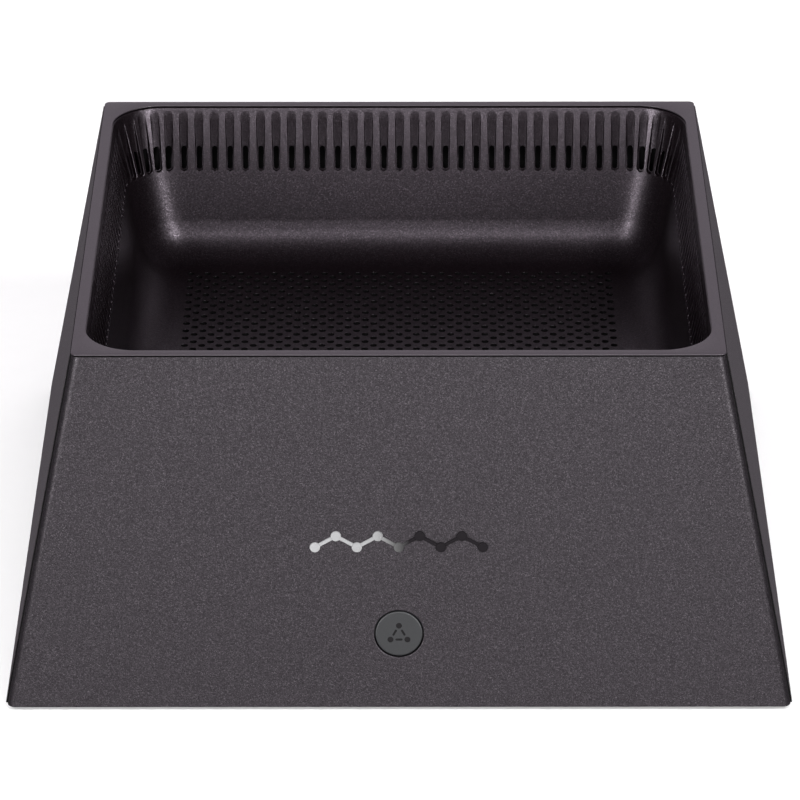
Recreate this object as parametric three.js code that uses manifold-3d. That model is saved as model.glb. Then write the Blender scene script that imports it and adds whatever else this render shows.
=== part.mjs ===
// Mesh wifi node: a truncated pyramid with a ventilated basin sunk in its top.
// Millimetres, +Z up. The origin is on the surface that the feet stand on, in the middle of the body.
// The front, with the push button, faces -Y. The jacks are on the rear, +Y.
import * as THREE from "three";
import { mergeVertices } from "three/addons/utils/BufferGeometryUtils.js";
import Module from "manifold-3d";

// ---- Driving dimensions ----
// Body
const BASE_WIDTH = 190; // along X, at the bottom edge
const BASE_DEPTH = 180.8; // along Y, at the bottom edge
const TOP_SIZE = 155.43; // across the panels at their top edges, both ways
const PANEL_HEIGHT = 87.6; // bottom edge to the panels' top edges
const BODY_HEIGHT = 88; // bottom edge to the top frame's face
const FOOT_STANDS = 1.2; // how far the feet hold the bottom edge off the surface
const PANEL = 2; // wall thickness of the four panels
const SEAM = 0.3; // gap between neighbouring mouldings
const TOUCH = 0.1; // gap between pieces that rest on each other
const LIP = 0.6; // thin lip of each panel around the top frame
const REBATE = 2.7; // depth of the rebate that the top frame sits in

// Top frame
const FRAME_TALL = 3;
const FRAME_WIDTH = 154.9;
const FRAME_DEPTH = 154.5;
const FRAME_CORNER = 1.5;
const FRAME_FLANGE = 0.25; // the flange over the panels' lips and the tray's top edge
const FRAME_BODY = 153.6; // across the ring below the flange
const OPENING = 149.4; // width of the frame's opening
const SKIRT_OPENING = 152; // width inside the frame's skirt

// Basin tray
const TRAY_DROP = 0.6; // tray's top edge below the top face
const TRAY_DRAFT = 0.19; // the wall leans in by this much per millimetre down
const TRAY_CORNER = 12.5;
const TRAY_FILLET = 9.5; // between wall and floor
const TRAY_MOUTH = 149.3; // width between the walls, extended to the top face
const TRAY_FLOOR_HEIGHT = 48.5; // above the bottom edge
const TRAY_WALL = 1.3;
const TRAY_FLOOR = 1.8;
const POST_AT = 61; // the tray's four screw posts
const POST_RADIUS = 4;
const SLOT_PITCH = 4.056;
const SLOTS_PER_QUARTER = 36;
const SLOTS_BEFORE_CORNER = 15; // slots from the middle of a side that keep the pitch
const SLOT_WIDTH = 1.66;
const SLOT_LOW = 70.8; // above the bottom edge
const SLOT_HIGH = 76.8;

// Base plate and feet
const PLATE = 2.2;
const PLATE_CORNER = 2;
const PLATE_LIP = { height: 5.6, thickness: 1.5 };
const FOOT = { x: 79, y: 76, radius: 7, sunk: 0.7 };
const COUNTERBORE = { radius: 3.2, depth: 1.8 };
const SCREW_HOLE = 1.7;
const BASE_SCREW = { head: 2.8, headTall: 1.6, shank: 1.2, length: 12 };
const VENT = { width: 2.6, length: 36, pitch: 7, count: 5, x: 26, y: 50 };
const RATING_LABEL = { halfX: 30, halfY: 15, corner: 2, film: 0.15 };

// Board
const BOARD_BOTTOM = 13.4;
const BOARD = 1.6;
const BOARD_HALF_WIDTH = 68;
const BOARD_FRONT = -79.5;
const BOARD_REAR = 79.6;
const BOARD_CORNER = 2;
const BOSS = { x: 62, y: 73, radius: 3, hole: 1.15 };
const SMALL_SCREW = { head: 2.5, headTall: 1.4, shank: 0.95, length: 7 };
const SHIELD = { width: 74, depth: 58, height: 3, wall: 0.4 };
const PAD = { width: 44, depth: 40, height: 1 };
const HEATSINK = { width: 104, depth: 70, base: 2.5, fin: 1.2, fins: 13, finTall: 16 };
const HEATSINK_LEG = { radius: 3, inset: 4 };

// Push button on the front, and the reset button on the rear
const BUTTON_HEIGHT = 18.7; // above the bottom edge
const BUTTON_RADIUS = 5.7;
const BUTTON_HOLE = 5.95;
const BUTTON_TRAVEL = 0.6;
const BUTTON_STEM = { radius: 2, end: -7 };
const FLANGE = { radius: 7.3, thickness: 0.8 };
const BRACKET = { legX: 10, legHalf: 1.5, halfY: 4, thickness: 1.4 };
const BADGE = { height: 42, width: 42.7, tall: 5.3, thickness: 0.4 };
const SWITCH = { width: 6, depth: 3.6, height: 6.8, axis: 3.9, hole: 1.95, plunger: 1.7, back: 0.9 };
const SWITCH_DEEP = 1.3; // how far a plunger stands in its switch
const PLUNGER_SHOWS = 1.6; // how far the front switch's plunger stands out
const STATUS_LED = { x: 7, width: 3.2, depth: 1.6, height: 1.4 };
const RESET = { x: 44, radius: 1.3, hole: 1.8, recess: 0.9, setBack: 1 };

// Jacks, left to right as seen from above, facing +Y
const JACK_FACE = 86.3;
const NETWORK_JACK = { width: 16, depth: 16, height: 13.4, xs: [-20, 0, 20] };
const SOCKET = { width: 11.8, height: 8.2, depth: 12, latchWidth: 6.2, latchTall: 1.8, low: 3.4 };
const POWER_JACK = { x: -43, width: 9, depth: 14, height: 11, hole: 3.2, holeDeep: 9.5, axis: 6 };
const POWER_PIN = { radius: 1, recess: 1, root: 1 };
const PORT_CLEARANCE = 0.5;

// Antennas, behind the side panels
const ANTENNA = { along: 45, low: 30, tall: 44, width: 14, thickness: 0.8 };
const LEAD = { radius: 0.65, sides: 8, steps: 12 };
// Where a lead leaves its antenna, how it hangs, and where it lies on the board
const LEAD_ROUTE = { up: 10, droop: 9, off: 2.5, approach: 5, landing: 12, share: 0.86 };

// ---- Worked out from them ----
const BOTTOM = FOOT_STANDS;
const TOP = BOTTOM + BODY_HEIGHT;
const LEAN_FRONT = Math.atan((BASE_DEPTH - TOP_SIZE) / 2 / PANEL_HEIGHT);
const LEAN_SIDE = Math.atan((BASE_WIDTH - TOP_SIZE) / 2 / PANEL_HEIGHT);
const SLANT_FRONT = PANEL_HEIGHT / Math.cos(LEAN_FRONT);
const SLANT_SIDE = PANEL_HEIGHT / Math.cos(LEAN_SIDE);
const BOARD_TOP = BOARD_BOTTOM + BOARD;
const FLOOR_Z = BOTTOM + TRAY_FLOOR_HEIGHT;
const PLATE_TOP = BOTTOM + PLATE;
const SHIELD_TOP = BOARD_TOP + TOUCH + SHIELD.height;
const PAD_TOP = SHIELD_TOP + TOUCH + PAD.height;
const HEATSINK_LOW = PAD_TOP + TOUCH;
const SWITCH_AXIS = BOARD_TOP + TOUCH + SWITCH.axis;
const CUT_PAST = 5; // how far a cutter runs past the face it cuts

const halfDepthAt = (z) => BASE_DEPTH / 2 - Math.tan(LEAN_FRONT) * (z - BOTTOM);
const halfWidthAt = (z) => BASE_WIDTH / 2 - Math.tan(LEAN_SIDE) * (z - BOTTOM);

// ---- Materials ----
const material = (color, roughness, metalness = 0) =>
  new THREE.MeshStandardMaterial({ color, roughness, metalness });
const PAINT = material(0x4a4549, 0.55, 0.2);
const FRAME_PAINT = material(0x57535a, 0.45, 0.2);
const TRAY_PLASTIC = material(0x3a3539, 0.5, 0.1);
const BUTTON_PLASTIC = material(0x4a4a4c, 0.4);
const BLACK_PLASTIC = material(0x161618, 0.6);
const BASE_PLASTIC = material(0x1c1b1d, 0.7);
const RUBBER = material(0x0d0d0e, 0.9);
const STEEL = material(0x9a9c9f, 0.35, 0.9);
const CHROME = material(0xb9bcc0, 0.15, 1);
const ALUMINIUM = material(0xa9abae, 0.4, 0.9);
const SOLDER_MASK = material(0x1d4a33, 0.5);
const PAD_GREY = material(0x8d97a8, 0.8);
const LABEL = material(0xb8b8b6, 0.6);
const LED_LENS = material(0xe6e8e2, 0.3);
const LEAD_JACKET = material(0x1b1b1c, 0.5);

// ---- Joining and cutting ----
const wasm = await Module();
wasm.setup();

function toSolid(geometry) {
  const loose = geometry.index ? geometry.toNonIndexed() : geometry;
  const bare = new THREE.BufferGeometry().setAttribute("position", loose.getAttribute("position"));
  const merged = mergeVertices(bare, 1e-4);
  const vertProperties = merged.attributes.position.array;
  const triVerts = new Uint32Array(merged.index.array);
  return new wasm.Manifold(new wasm.Mesh({ numProp: 3, vertProperties, triVerts }));
}

function toGeometry(solid) {
  const { numVert, numProp, vertProperties, triVerts } = solid.getMesh();
  const positions = new Float32Array(numVert * 3);
  for (let i = 0; i < numVert; i++) {
    positions.set(vertProperties.subarray(i * numProp, i * numProp + 3), i * 3);
  }
  const geometry = new THREE.BufferGeometry();
  geometry.setAttribute("position", new THREE.BufferAttribute(positions, 3));
  geometry.setIndex(new THREE.BufferAttribute(triVerts, 1));
  geometry.computeVertexNormals();
  return geometry;
}

const joined = (geometries) => wasm.Manifold.union(geometries.map(toSolid));

// The first solid with the cutters taken away.
function cut(body, cutters) {
  const solid = body instanceof THREE.BufferGeometry ? toSolid(body) : body;
  return toGeometry(solid.subtract(joined(cutters)));
}

// ---- Shapes ----
function box(low, high) {
  const size = high.map((value, i) => value - low[i]);
  const geometry = new THREE.BoxGeometry(...size);
  return geometry.translate(...low.map((value, i) => value + size[i] / 2));
}

// A closed turned solid about +Z, from [radius, height] points that run upwards.
function turned(profile, segments = 24) {
  const points = profile.map(([radius, height]) => new THREE.Vector2(radius, height));
  return new THREE.LatheGeometry(points, segments).rotateX(Math.PI / 2);
}

const rod = (radius, low, high, segments = 24) =>
  turned([[0, low], [radius, low], [radius, high], [0, high]], segments);

function roundedRectangle(halfX, halfY, radius, Outline = THREE.Shape) {
  const outline = new Outline();
  outline.moveTo(-halfX + radius, -halfY);
  outline.lineTo(halfX - radius, -halfY);
  outline.absarc(halfX - radius, -halfY + radius, radius, -Math.PI / 2, 0);
  outline.lineTo(halfX, halfY - radius);
  outline.absarc(halfX - radius, halfY - radius, radius, 0, Math.PI / 2);
  outline.lineTo(-halfX + radius, halfY);
  outline.absarc(-halfX + radius, halfY - radius, radius, Math.PI / 2, Math.PI);
  outline.lineTo(-halfX, -halfY + radius);
  outline.absarc(-halfX + radius, -halfY + radius, radius, Math.PI, Math.PI * 1.5);
  return outline;
}

function plain(shape, low, high, curveSegments = 3) {
  const geometry = new THREE.ExtrudeGeometry(shape, {
    depth: high - low,
    bevelEnabled: false,
    curveSegments,
  });
  return geometry.translate(0, 0, low);
}

function trapezoid(halfBottom, halfTop, height) {
  const shape = new THREE.Shape();
  shape.moveTo(-halfBottom, 0);
  shape.lineTo(halfBottom, 0);
  shape.lineTo(halfTop, height);
  shape.lineTo(-halfTop, height);
  return shape;
}

function roundHole(x, y, radius) {
  const hole = new THREE.Path();
  hole.absarc(x, y, radius, 0, Math.PI * 2, true);
  return hole;
}

// A screw along +Z: its tip at the top, its crossed head at the bottom, at height 0.
function screwGeometry({ head, headTall, shank, length }) {
  const chamfer = 0.4;
  const body = turned([
    [0, 0],
    [head - chamfer, 0],
    [head, chamfer],
    [head, headTall],
    [shank, headTall],
    [shank, length - shank],
    [0, length],
  ], 14);
  const arm = head * 0.55;
  const blade = 0.35;
  const deep = 0.9;
  return cut(body, [
    box([-arm, -blade, -CUT_PAST], [arm, blade, deep]),
    box([-blade, -arm, -CUT_PAST], [blade, arm, deep]),
  ]);
}

// ---- Scene graph ----
const node = new THREE.Group();
node.name = "mesh_wifi_node";

function addPiece(parent, name, geometry, look, x = 0, y = 0, z = 0) {
  const mesh = new THREE.Mesh(geometry, look);
  mesh.name = name;
  mesh.position.set(x, y, z);
  parent.add(mesh);
  return mesh;
}

// A group in the plane of one slanted face: X along the bottom edge, Y up the slope, Z outwards.
function faceGroup(turn, halfBase, lean) {
  const around = new THREE.Group();
  around.rotation.z = turn;
  const face = new THREE.Group();
  face.position.set(0, -halfBase, BOTTOM);
  face.rotation.x = Math.PI / 2 - lean;
  around.add(face);
  node.add(around);
  face.updateWorldMatrix(true, false);
  return face;
}

const frontFace = faceGroup(0, BASE_DEPTH / 2, LEAN_FRONT);
const rearFace = faceGroup(Math.PI, BASE_DEPTH / 2, LEAN_FRONT);
const leftFace = faceGroup(-Math.PI / 2, BASE_WIDTH / 2, LEAN_SIDE);
const rightFace = faceGroup(Math.PI / 2, BASE_WIDTH / 2, LEAN_SIDE);

const inFace = (face, geometry) => geometry.applyMatrix4(face.matrixWorld.clone().invert());

// ---- Panels ----
// A slanted plate with its bottom trimmed level, and a rebate for the top frame inside its top lip.
function panelGeometry(face, shape, slant, rebateHalf, cutOuts = []) {
  const plate = plain(shape, -PANEL, 0, 16);
  const below = box([-BASE_WIDTH, -BASE_WIDTH, -CUT_PAST], [BASE_WIDTH, BASE_WIDTH, BOTTOM]);
  const rebate = box(
    [-rebateHalf, slant - REBATE, -PANEL - CUT_PAST],
    [rebateHalf, slant + CUT_PAST, -LIP],
  );
  return cut(plate, [inFace(face, below), rebate, ...cutOuts]);
}

// Height up the slope of the front or rear face, from a height above the surface it stands on.
const upSlope = (z) => (z - BOTTOM) / Math.cos(LEAN_FRONT);

function frontPanel() {
  const shape = trapezoid(BASE_WIDTH / 2, TOP_SIZE / 2, SLANT_FRONT);
  shape.holes.push(roundHole(0, BUTTON_HEIGHT / Math.cos(LEAN_FRONT), BUTTON_HOLE));
  const rebateHalf = TOP_SIZE / 2 - LIP;
  addPiece(frontFace, "front_panel", panelGeometry(frontFace, shape, SLANT_FRONT, rebateHalf), PAINT);
}

// The jacks are level and the panel leans, so a port's cut-out is taller than its jack.
function portCutOut(x, width, jackTop) {
  const low = upSlope(BOARD_TOP + TOUCH - PORT_CLEARANCE / 2);
  const high = upSlope(jackTop + PORT_CLEARANCE + PANEL * Math.sin(LEAN_FRONT));
  const half = width / 2 + PORT_CLEARANCE;
  return box([-x - half, low, -PANEL - CUT_PAST], [-x + half, high, CUT_PAST]);
}

function rearPanel() {
  const shape = trapezoid(BASE_WIDTH / 2, TOP_SIZE / 2, SLANT_FRONT);
  const resetUp = upSlope(SWITCH_AXIS + (PANEL * Math.sin(LEAN_FRONT)) / 2);
  shape.holes.push(roundHole(-RESET.x, resetUp, RESET.hole));
  const seat = BOARD_TOP + TOUCH;
  const cutOuts = NETWORK_JACK.xs.map((x) =>
    portCutOut(x, NETWORK_JACK.width, seat + NETWORK_JACK.height),
  );
  cutOuts.push(portCutOut(POWER_JACK.x, POWER_JACK.width, seat + POWER_JACK.height));
  const rebateHalf = TOP_SIZE / 2 - LIP;
  const geometry = panelGeometry(rearFace, shape, SLANT_FRONT, rebateHalf, cutOuts);
  addPiece(rearFace, "rear_panel", geometry, PAINT);
}

// A side panel fits between the front and rear panels.
function sidePanel(name, face) {
  const inset = PANEL / Math.cos(LEAN_FRONT) + SEAM;
  const shape = trapezoid(BASE_DEPTH / 2 - inset, TOP_SIZE / 2 - inset, SLANT_SIDE);
  addPiece(face, name, panelGeometry(face, shape, SLANT_SIDE, BASE_DEPTH), PAINT);
}

// ---- Top frame: a T-section ring, its flange over the panels' lips and the tray's edge ----
function topFrame() {
  const flange = roundedRectangle(FRAME_WIDTH / 2, FRAME_DEPTH / 2, FRAME_CORNER);
  const body = roundedRectangle(FRAME_BODY / 2, FRAME_BODY / 2, FRAME_CORNER);
  const ring = joined([
    plain(flange, TOP - FRAME_FLANGE, TOP),
    plain(body, TOP - FRAME_TALL, TOP - FRAME_FLANGE / 2),
  ]);
  const opening = roundedRectangle(OPENING / 2, OPENING / 2, TRAY_CORNER);
  const skirt = roundedRectangle(SKIRT_OPENING / 2, SKIRT_OPENING / 2, TRAY_CORNER + TRAY_WALL);
  const geometry = cut(ring, [
    plain(opening, TOP - CUT_PAST, TOP + CUT_PAST),
    plain(skirt, TOP - CUT_PAST, TOP - FRAME_FLANGE),
  ]);
  addPiece(node, "top_frame", geometry, FRAME_PAINT);
}

// ---- Basin tray ----
const trayHalfAt = (z) => TRAY_MOUTH / 2 - TRAY_DRAFT * (TOP - z);

// The basin's form, grown by a thickness: a rounded square with a fillet at its floor and drafted walls.
function basinForm(grow, floorZ, topZ) {
  const half = trayHalfAt(FLOOR_Z) - TRAY_FILLET + grow;
  const outline = roundedRectangle(half, half, TRAY_CORNER - TRAY_FILLET + grow);
  const geometry = new THREE.ExtrudeGeometry(outline, {
    depth: topZ - floorZ - TRAY_FILLET,
    bevelThickness: TRAY_FILLET,
    bevelSize: TRAY_FILLET,
    bevelSegments: 4,
    curveSegments: 3,
  });
  geometry.translate(0, 0, floorZ + TRAY_FILLET);
  const position = geometry.getAttribute("position");
  for (let i = 0; i < position.count; i++) {
    const spread = TRAY_DRAFT * (position.getZ(i) - FLOOR_Z);
    position.setX(i, position.getX(i) + Math.sign(position.getX(i)) * spread);
    position.setY(i, position.getY(i) + Math.sign(position.getY(i)) * spread);
  }
  return geometry;
}

// Where a slot sits on the wall at one height, and the way it faces, for one quarter of the ring.
function slotPlace(index, z) {
  const half = trayHalfAt(z);
  const flat = half - TRAY_CORNER;
  const arc = (TRAY_CORNER * Math.PI) / 2;
  const kept = SLOTS_BEFORE_CORNER * SLOT_PITCH;
  const cornerPitch = (2 * flat + arc - 2 * kept) / (SLOTS_PER_QUARTER - 2 * SLOTS_BEFORE_CORNER);
  let along = index * SLOT_PITCH;
  if (index > SLOTS_BEFORE_CORNER) along = kept + (index - SLOTS_BEFORE_CORNER) * cornerPitch;
  if (along <= flat) return { x: along, y: -half, turn: 0 };
  const turn = Math.min((along - flat) / TRAY_CORNER, Math.PI / 2);
  return {
    x: flat + TRAY_CORNER * Math.sin(turn),
    y: -flat - TRAY_CORNER * Math.cos(turn),
    turn,
  };
}

function basinSlots() {
  const middle = BOTTOM + (SLOT_LOW + SLOT_HIGH) / 2;
  const slots = [];
  for (let quarter = 0; quarter < 4; quarter++) {
    const first = -SLOTS_BEFORE_CORNER;
    for (let index = first; index < SLOTS_PER_QUARTER - SLOTS_BEFORE_CORNER; index++) {
      const { x, y, turn } = slotPlace(Math.abs(index), middle);
      const slot = new THREE.BoxGeometry(SLOT_WIDTH, 4 * TRAY_WALL, SLOT_HIGH - SLOT_LOW);
      slot.rotateZ(turn);
      slot.translate(index < 0 ? -x : x, y, middle);
      slots.push(slot.rotateZ((quarter * Math.PI) / 2));
    }
  }
  return slots;
}

const fourCorners = (x, y) => [[-x, -y], [x, -y], [-x, y], [x, y]];

function basinTray() {
  const top = TOP - TRAY_DROP;
  const posts = fourCorners(POST_AT, POST_AT).map(([x, y]) =>
    rod(POST_RADIUS, PLATE_TOP + 2 * TOUCH, FLOOR_Z + TRAY_WALL, 16).translate(x, y, 0),
  );
  const form = joined([basinForm(TRAY_WALL, FLOOR_Z - TRAY_FLOOR, TOP), ...posts]);
  const above = box([-BASE_WIDTH, -BASE_WIDTH, top], [BASE_WIDTH, BASE_WIDTH, TOP + 4 * TRAY_FILLET]);
  const screwHoles = fourCorners(POST_AT, POST_AT).map(([x, y]) =>
    rod(BASE_SCREW.shank + SEAM, 0, BASE_SCREW.length + 2 * BOTTOM, 12).translate(x, y, 0),
  );
  const geometry = cut(form, [basinForm(0, FLOOR_Z, TOP), above, ...screwHoles, ...basinSlots()]);
  addPiece(node, "basin_tray", geometry, TRAY_PLASTIC);
}

// ---- Base plate, feet, screws, label ----
// Four banks of slots through the plate, that let air in below the board.
function ventSlots() {
  const slots = [];
  for (const [bankX, bankY] of fourCorners(VENT.x, VENT.y)) {
    for (let i = 0; i < VENT.count; i++) {
      const y = bankY + (i - (VENT.count - 1) / 2) * VENT.pitch;
      slots.push(
        box(
          [bankX - VENT.length / 2, y - VENT.width / 2, BOTTOM - CUT_PAST],
          [bankX + VENT.length / 2, y + VENT.width / 2, PLATE_TOP + CUT_PAST],
        ),
      );
    }
  }
  return slots;
}

function basePlate() {
  const halfX = halfWidthAt(PLATE_TOP) - PANEL / Math.cos(LEAN_SIDE) - SEAM;
  const halfY = halfDepthAt(PLATE_TOP) - PANEL / Math.cos(LEAN_FRONT) - SEAM;
  const outline = roundedRectangle(halfX, halfY, PLATE_CORNER);
  const lipTop = PLATE_TOP + PLATE_LIP.height;
  const lipX = halfWidthAt(lipTop) - PANEL / Math.cos(LEAN_SIDE) - SEAM;
  const lipY = halfDepthAt(lipTop) - PANEL / Math.cos(LEAN_FRONT) - SEAM;
  const lipOutline = roundedRectangle(lipX, lipY, PLATE_CORNER);
  const { thickness } = PLATE_LIP;
  lipOutline.holes.push(
    roundedRectangle(lipX - thickness, lipY - thickness, PLATE_CORNER / 2, THREE.Path),
  );
  const bosses = fourCorners(BOSS.x, BOSS.y).map(([x, y]) =>
    rod(BOSS.radius, BOTTOM + PLATE / 2, BOARD_BOTTOM - TOUCH, 12).translate(x, y, 0),
  );
  const body = joined([
    plain(outline, BOTTOM, PLATE_TOP, 2),
    plain(lipOutline, BOTTOM + PLATE / 2, lipTop, 2),
    ...bosses,
  ]);
  const holes = ventSlots();
  for (const [x, y] of fourCorners(BOSS.x, BOSS.y)) {
    holes.push(rod(BOSS.hole, PLATE_TOP, BOARD_TOP, 8).translate(x, y, 0));
  }
  for (const [x, y] of fourCorners(POST_AT, POST_AT)) {
    holes.push(rod(SCREW_HOLE, 0, PLATE_TOP + CUT_PAST, 10).translate(x, y, 0));
    holes.push(rod(COUNTERBORE.radius, 0, BOTTOM + COUNTERBORE.depth, 14).translate(x, y, 0));
  }
  for (const [x, y] of fourCorners(FOOT.x, FOOT.y)) {
    holes.push(rod(FOOT.radius + SEAM, 0, BOTTOM + FOOT.sunk + TOUCH, 18).translate(x, y, 0));
  }
  addPiece(node, "base_plate", cut(body, holes), BASE_PLASTIC);
}

const CORNER_NAMES = ["front_left", "front_right", "rear_left", "rear_right"];

function feet() {
  const edge = 0.5;
  const geometry = turned([
    [0, 0],
    [FOOT.radius - edge, 0],
    [FOOT.radius, edge],
    [FOOT.radius, BOTTOM + FOOT.sunk],
    [0, BOTTOM + FOOT.sunk],
  ], 20);
  fourCorners(FOOT.x, FOOT.y).forEach(([x, y], i) =>
    addPiece(node, "foot_" + CORNER_NAMES[i], geometry, RUBBER, x, y),
  );
}

function baseScrews() {
  const geometry = screwGeometry(BASE_SCREW);
  const seat = BOTTOM + COUNTERBORE.depth - BASE_SCREW.headTall - TOUCH;
  fourCorners(POST_AT, POST_AT).forEach(([x, y], i) =>
    addPiece(node, "base_screw_" + CORNER_NAMES[i], geometry, STEEL, x, y, seat),
  );
}

function ratingLabel() {
  const { halfX, halfY, corner, film } = RATING_LABEL;
  const top = BOTTOM - TOUCH / 2;
  addPiece(node, "rating_label", plain(roundedRectangle(halfX, halfY, corner), top - film, top), LABEL);
}

// ---- Board and what is on it ----
function mainBoard() {
  const middle = (BOARD_FRONT + BOARD_REAR) / 2;
  const outline = roundedRectangle(BOARD_HALF_WIDTH, (BOARD_REAR - BOARD_FRONT) / 2, BOARD_CORNER);
  fourCorners(POST_AT, POST_AT).forEach(([x, y]) =>
    outline.holes.push(roundHole(x, y - middle, POST_RADIUS + 2 * SEAM)),
  );
  fourCorners(BOSS.x, BOSS.y).forEach(([x, y]) =>
    outline.holes.push(roundHole(x, y - middle, BOSS.hole + SEAM)),
  );
  heatsinkLegs().forEach(([x, y]) => outline.holes.push(roundHole(x, y - middle, BOSS.hole + SEAM)));
  addPiece(node, "main_board", plain(outline, BOARD_BOTTOM, BOARD_TOP, 4), SOLDER_MASK, 0, middle);
}

function boardScrews() {
  const geometry = screwGeometry(SMALL_SCREW).rotateX(Math.PI);
  const seat = BOARD_TOP + TOUCH + SMALL_SCREW.headTall;
  fourCorners(BOSS.x, BOSS.y).forEach(([x, y], i) =>
    addPiece(node, "board_screw_" + CORNER_NAMES[i], geometry, STEEL, x, y, seat),
  );
}

function shieldAndPad() {
  const { width, depth, height, wall } = SHIELD;
  const low = BOARD_TOP + TOUCH;
  const can = box([-width / 2, -depth / 2, low], [width / 2, depth / 2, low + height]);
  const hollow = box(
    [-width / 2 + wall, -depth / 2 + wall, low - CUT_PAST],
    [width / 2 - wall, depth / 2 - wall, low + height - wall],
  );
  addPiece(node, "radio_shield", cut(can, [hollow]), STEEL);
  const pad = new THREE.BoxGeometry(PAD.width, PAD.depth, PAD.height);
  addPiece(node, "thermal_pad", pad, PAD_GREY, 0, 0, PAD_TOP - PAD.height / 2);
}

const heatsinkLegs = () => {
  const x = HEATSINK.width / 2 - HEATSINK_LEG.inset;
  const y = HEATSINK.depth / 2 - HEATSINK_LEG.inset;
  return [[-x, -y], [x, y]];
};

function heatsink() {
  const { width, depth, base, fin, fins, finTall } = HEATSINK;
  const top = HEATSINK_LOW + base;
  const pieces = [box([-width / 2, -depth / 2, HEATSINK_LOW], [width / 2, depth / 2, top])];
  for (let i = 0; i < fins; i++) {
    const x = -width / 2 + (i * (width - fin)) / (fins - 1);
    pieces.push(box([x, -depth / 2, top - base / 2], [x + fin, depth / 2, top + finTall]));
  }
  for (const [x, y] of heatsinkLegs()) {
    pieces.push(rod(HEATSINK_LEG.radius, BOARD_TOP + TOUCH, HEATSINK_LOW + base / 2, 16).translate(x, y, 0));
  }
  const holes = heatsinkLegs().map(([x, y]) =>
    rod(BOSS.hole, 0, BOARD_TOP + SMALL_SCREW.length - BOARD, 12).translate(x, y, 0),
  );
  addPiece(node, "heatsink", cut(joined(pieces), holes), ALUMINIUM);
  const screw = screwGeometry(SMALL_SCREW);
  heatsinkLegs().forEach(([x, y], i) =>
    addPiece(node, "heatsink_screw_" + ["left", "right"][i], screw, STEEL, x, y,
      BOARD_BOTTOM - TOUCH - SMALL_SCREW.headTall),
  );
}

// ---- Push button, its bracket, switch and light, in the front face's own axes ----
const buttonUp = BUTTON_HEIGHT / Math.cos(LEAN_FRONT);

function meshButton() {
  const flangeTop = -PANEL - SEAM;
  const face = -0.1;
  const edge = 0.3;
  const geometry = turned(
    [
      [0, BUTTON_STEM.end],
      [BUTTON_STEM.radius, BUTTON_STEM.end],
      [BUTTON_STEM.radius, flangeTop - FLANGE.thickness],
      [FLANGE.radius, flangeTop - FLANGE.thickness],
      [FLANGE.radius, flangeTop],
      [BUTTON_RADIUS, flangeTop],
      [BUTTON_RADIUS, face - edge],
      [BUTTON_RADIUS - edge, face],
      [0, face],
    ],
    32,
  );
  addPiece(frontFace, "mesh_button", geometry, BUTTON_PLASTIC, 0, buttonUp);
}

// A plate with a guide hole for the button's stem, on two legs behind the panel.
function buttonBracket() {
  const { legX, legHalf, halfY, thickness } = BRACKET;
  const plateHigh = -PANEL - SEAM - FLANGE.thickness - BUTTON_TRAVEL - SEAM;
  const plateLow = plateHigh - thickness;
  const legs = [-legX, legX].map((x) =>
    box([x - legHalf, -halfY, plateLow], [x + legHalf, halfY, -PANEL - TOUCH]),
  );
  const plate = box([-legX - legHalf, -halfY, plateLow], [legX + legHalf, halfY, plateHigh]);
  const guide = rod(BUTTON_STEM.radius + SEAM, plateLow - CUT_PAST, plateHigh + CUT_PAST, 16);
  addPiece(frontFace, "button_bracket", cut(joined([plate, ...legs]), [guide]), BLACK_PLASTIC, 0, buttonUp);
}

// A right-angle switch body that opens towards -Y, standing on the board.
function switchGeometry() {
  const { width, depth, height, axis, hole, back } = SWITCH;
  const body = box([-width / 2, 0, 0], [width / 2, depth, height]);
  const bore = rod(hole, -CUT_PAST, depth - back, 16).rotateX(-Math.PI / 2);
  return cut(body, [bore.translate(0, 0, axis)]);
}

// A rod along +Y between two places, at the height of the switches' axis.
const plungerGeometry = (radius, from, to) =>
  rod(radius, from, to, 20).rotateX(-Math.PI / 2);

function buttonSwitch() {
  const stemEnd = new THREE.Vector3(0, buttonUp, BUTTON_STEM.end);
  frontFace.localToWorld(stemEnd);
  const tip = stemEnd.y + 2 * BUTTON_STEM.radius * Math.tan(LEAN_FRONT);
  const face = tip + PLUNGER_SHOWS;
  addPiece(node, "button_switch", switchGeometry(), BLACK_PLASTIC, 0, face, BOARD_TOP + TOUCH);
  const plunger = plungerGeometry(SWITCH.plunger, tip, face + SWITCH_DEEP);
  addPiece(node, "switch_plunger", plunger, BUTTON_PLASTIC, 0, 0, SWITCH_AXIS);
  const { x, width, depth, height } = STATUS_LED;
  const lamp = new THREE.BoxGeometry(width, depth, height);
  const seat = BOARD_TOP + TOUCH;
  addPiece(node, "status_led", lamp, LED_LENS, x, face + depth / 2, seat + height / 2);
}

function resetButton() {
  const face = BOARD_REAR - RESET.setBack;
  const tip = halfDepthAt(SWITCH_AXIS) - RESET.recess;
  const body = switchGeometry().rotateZ(Math.PI);
  addPiece(node, "reset_switch", body, BLACK_PLASTIC, RESET.x, face, BOARD_TOP + TOUCH);
  const plunger = plungerGeometry(RESET.radius, face - SWITCH_DEEP, tip);
  addPiece(node, "reset_button", plunger, BUTTON_PLASTIC, RESET.x, 0, SWITCH_AXIS);
}

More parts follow.
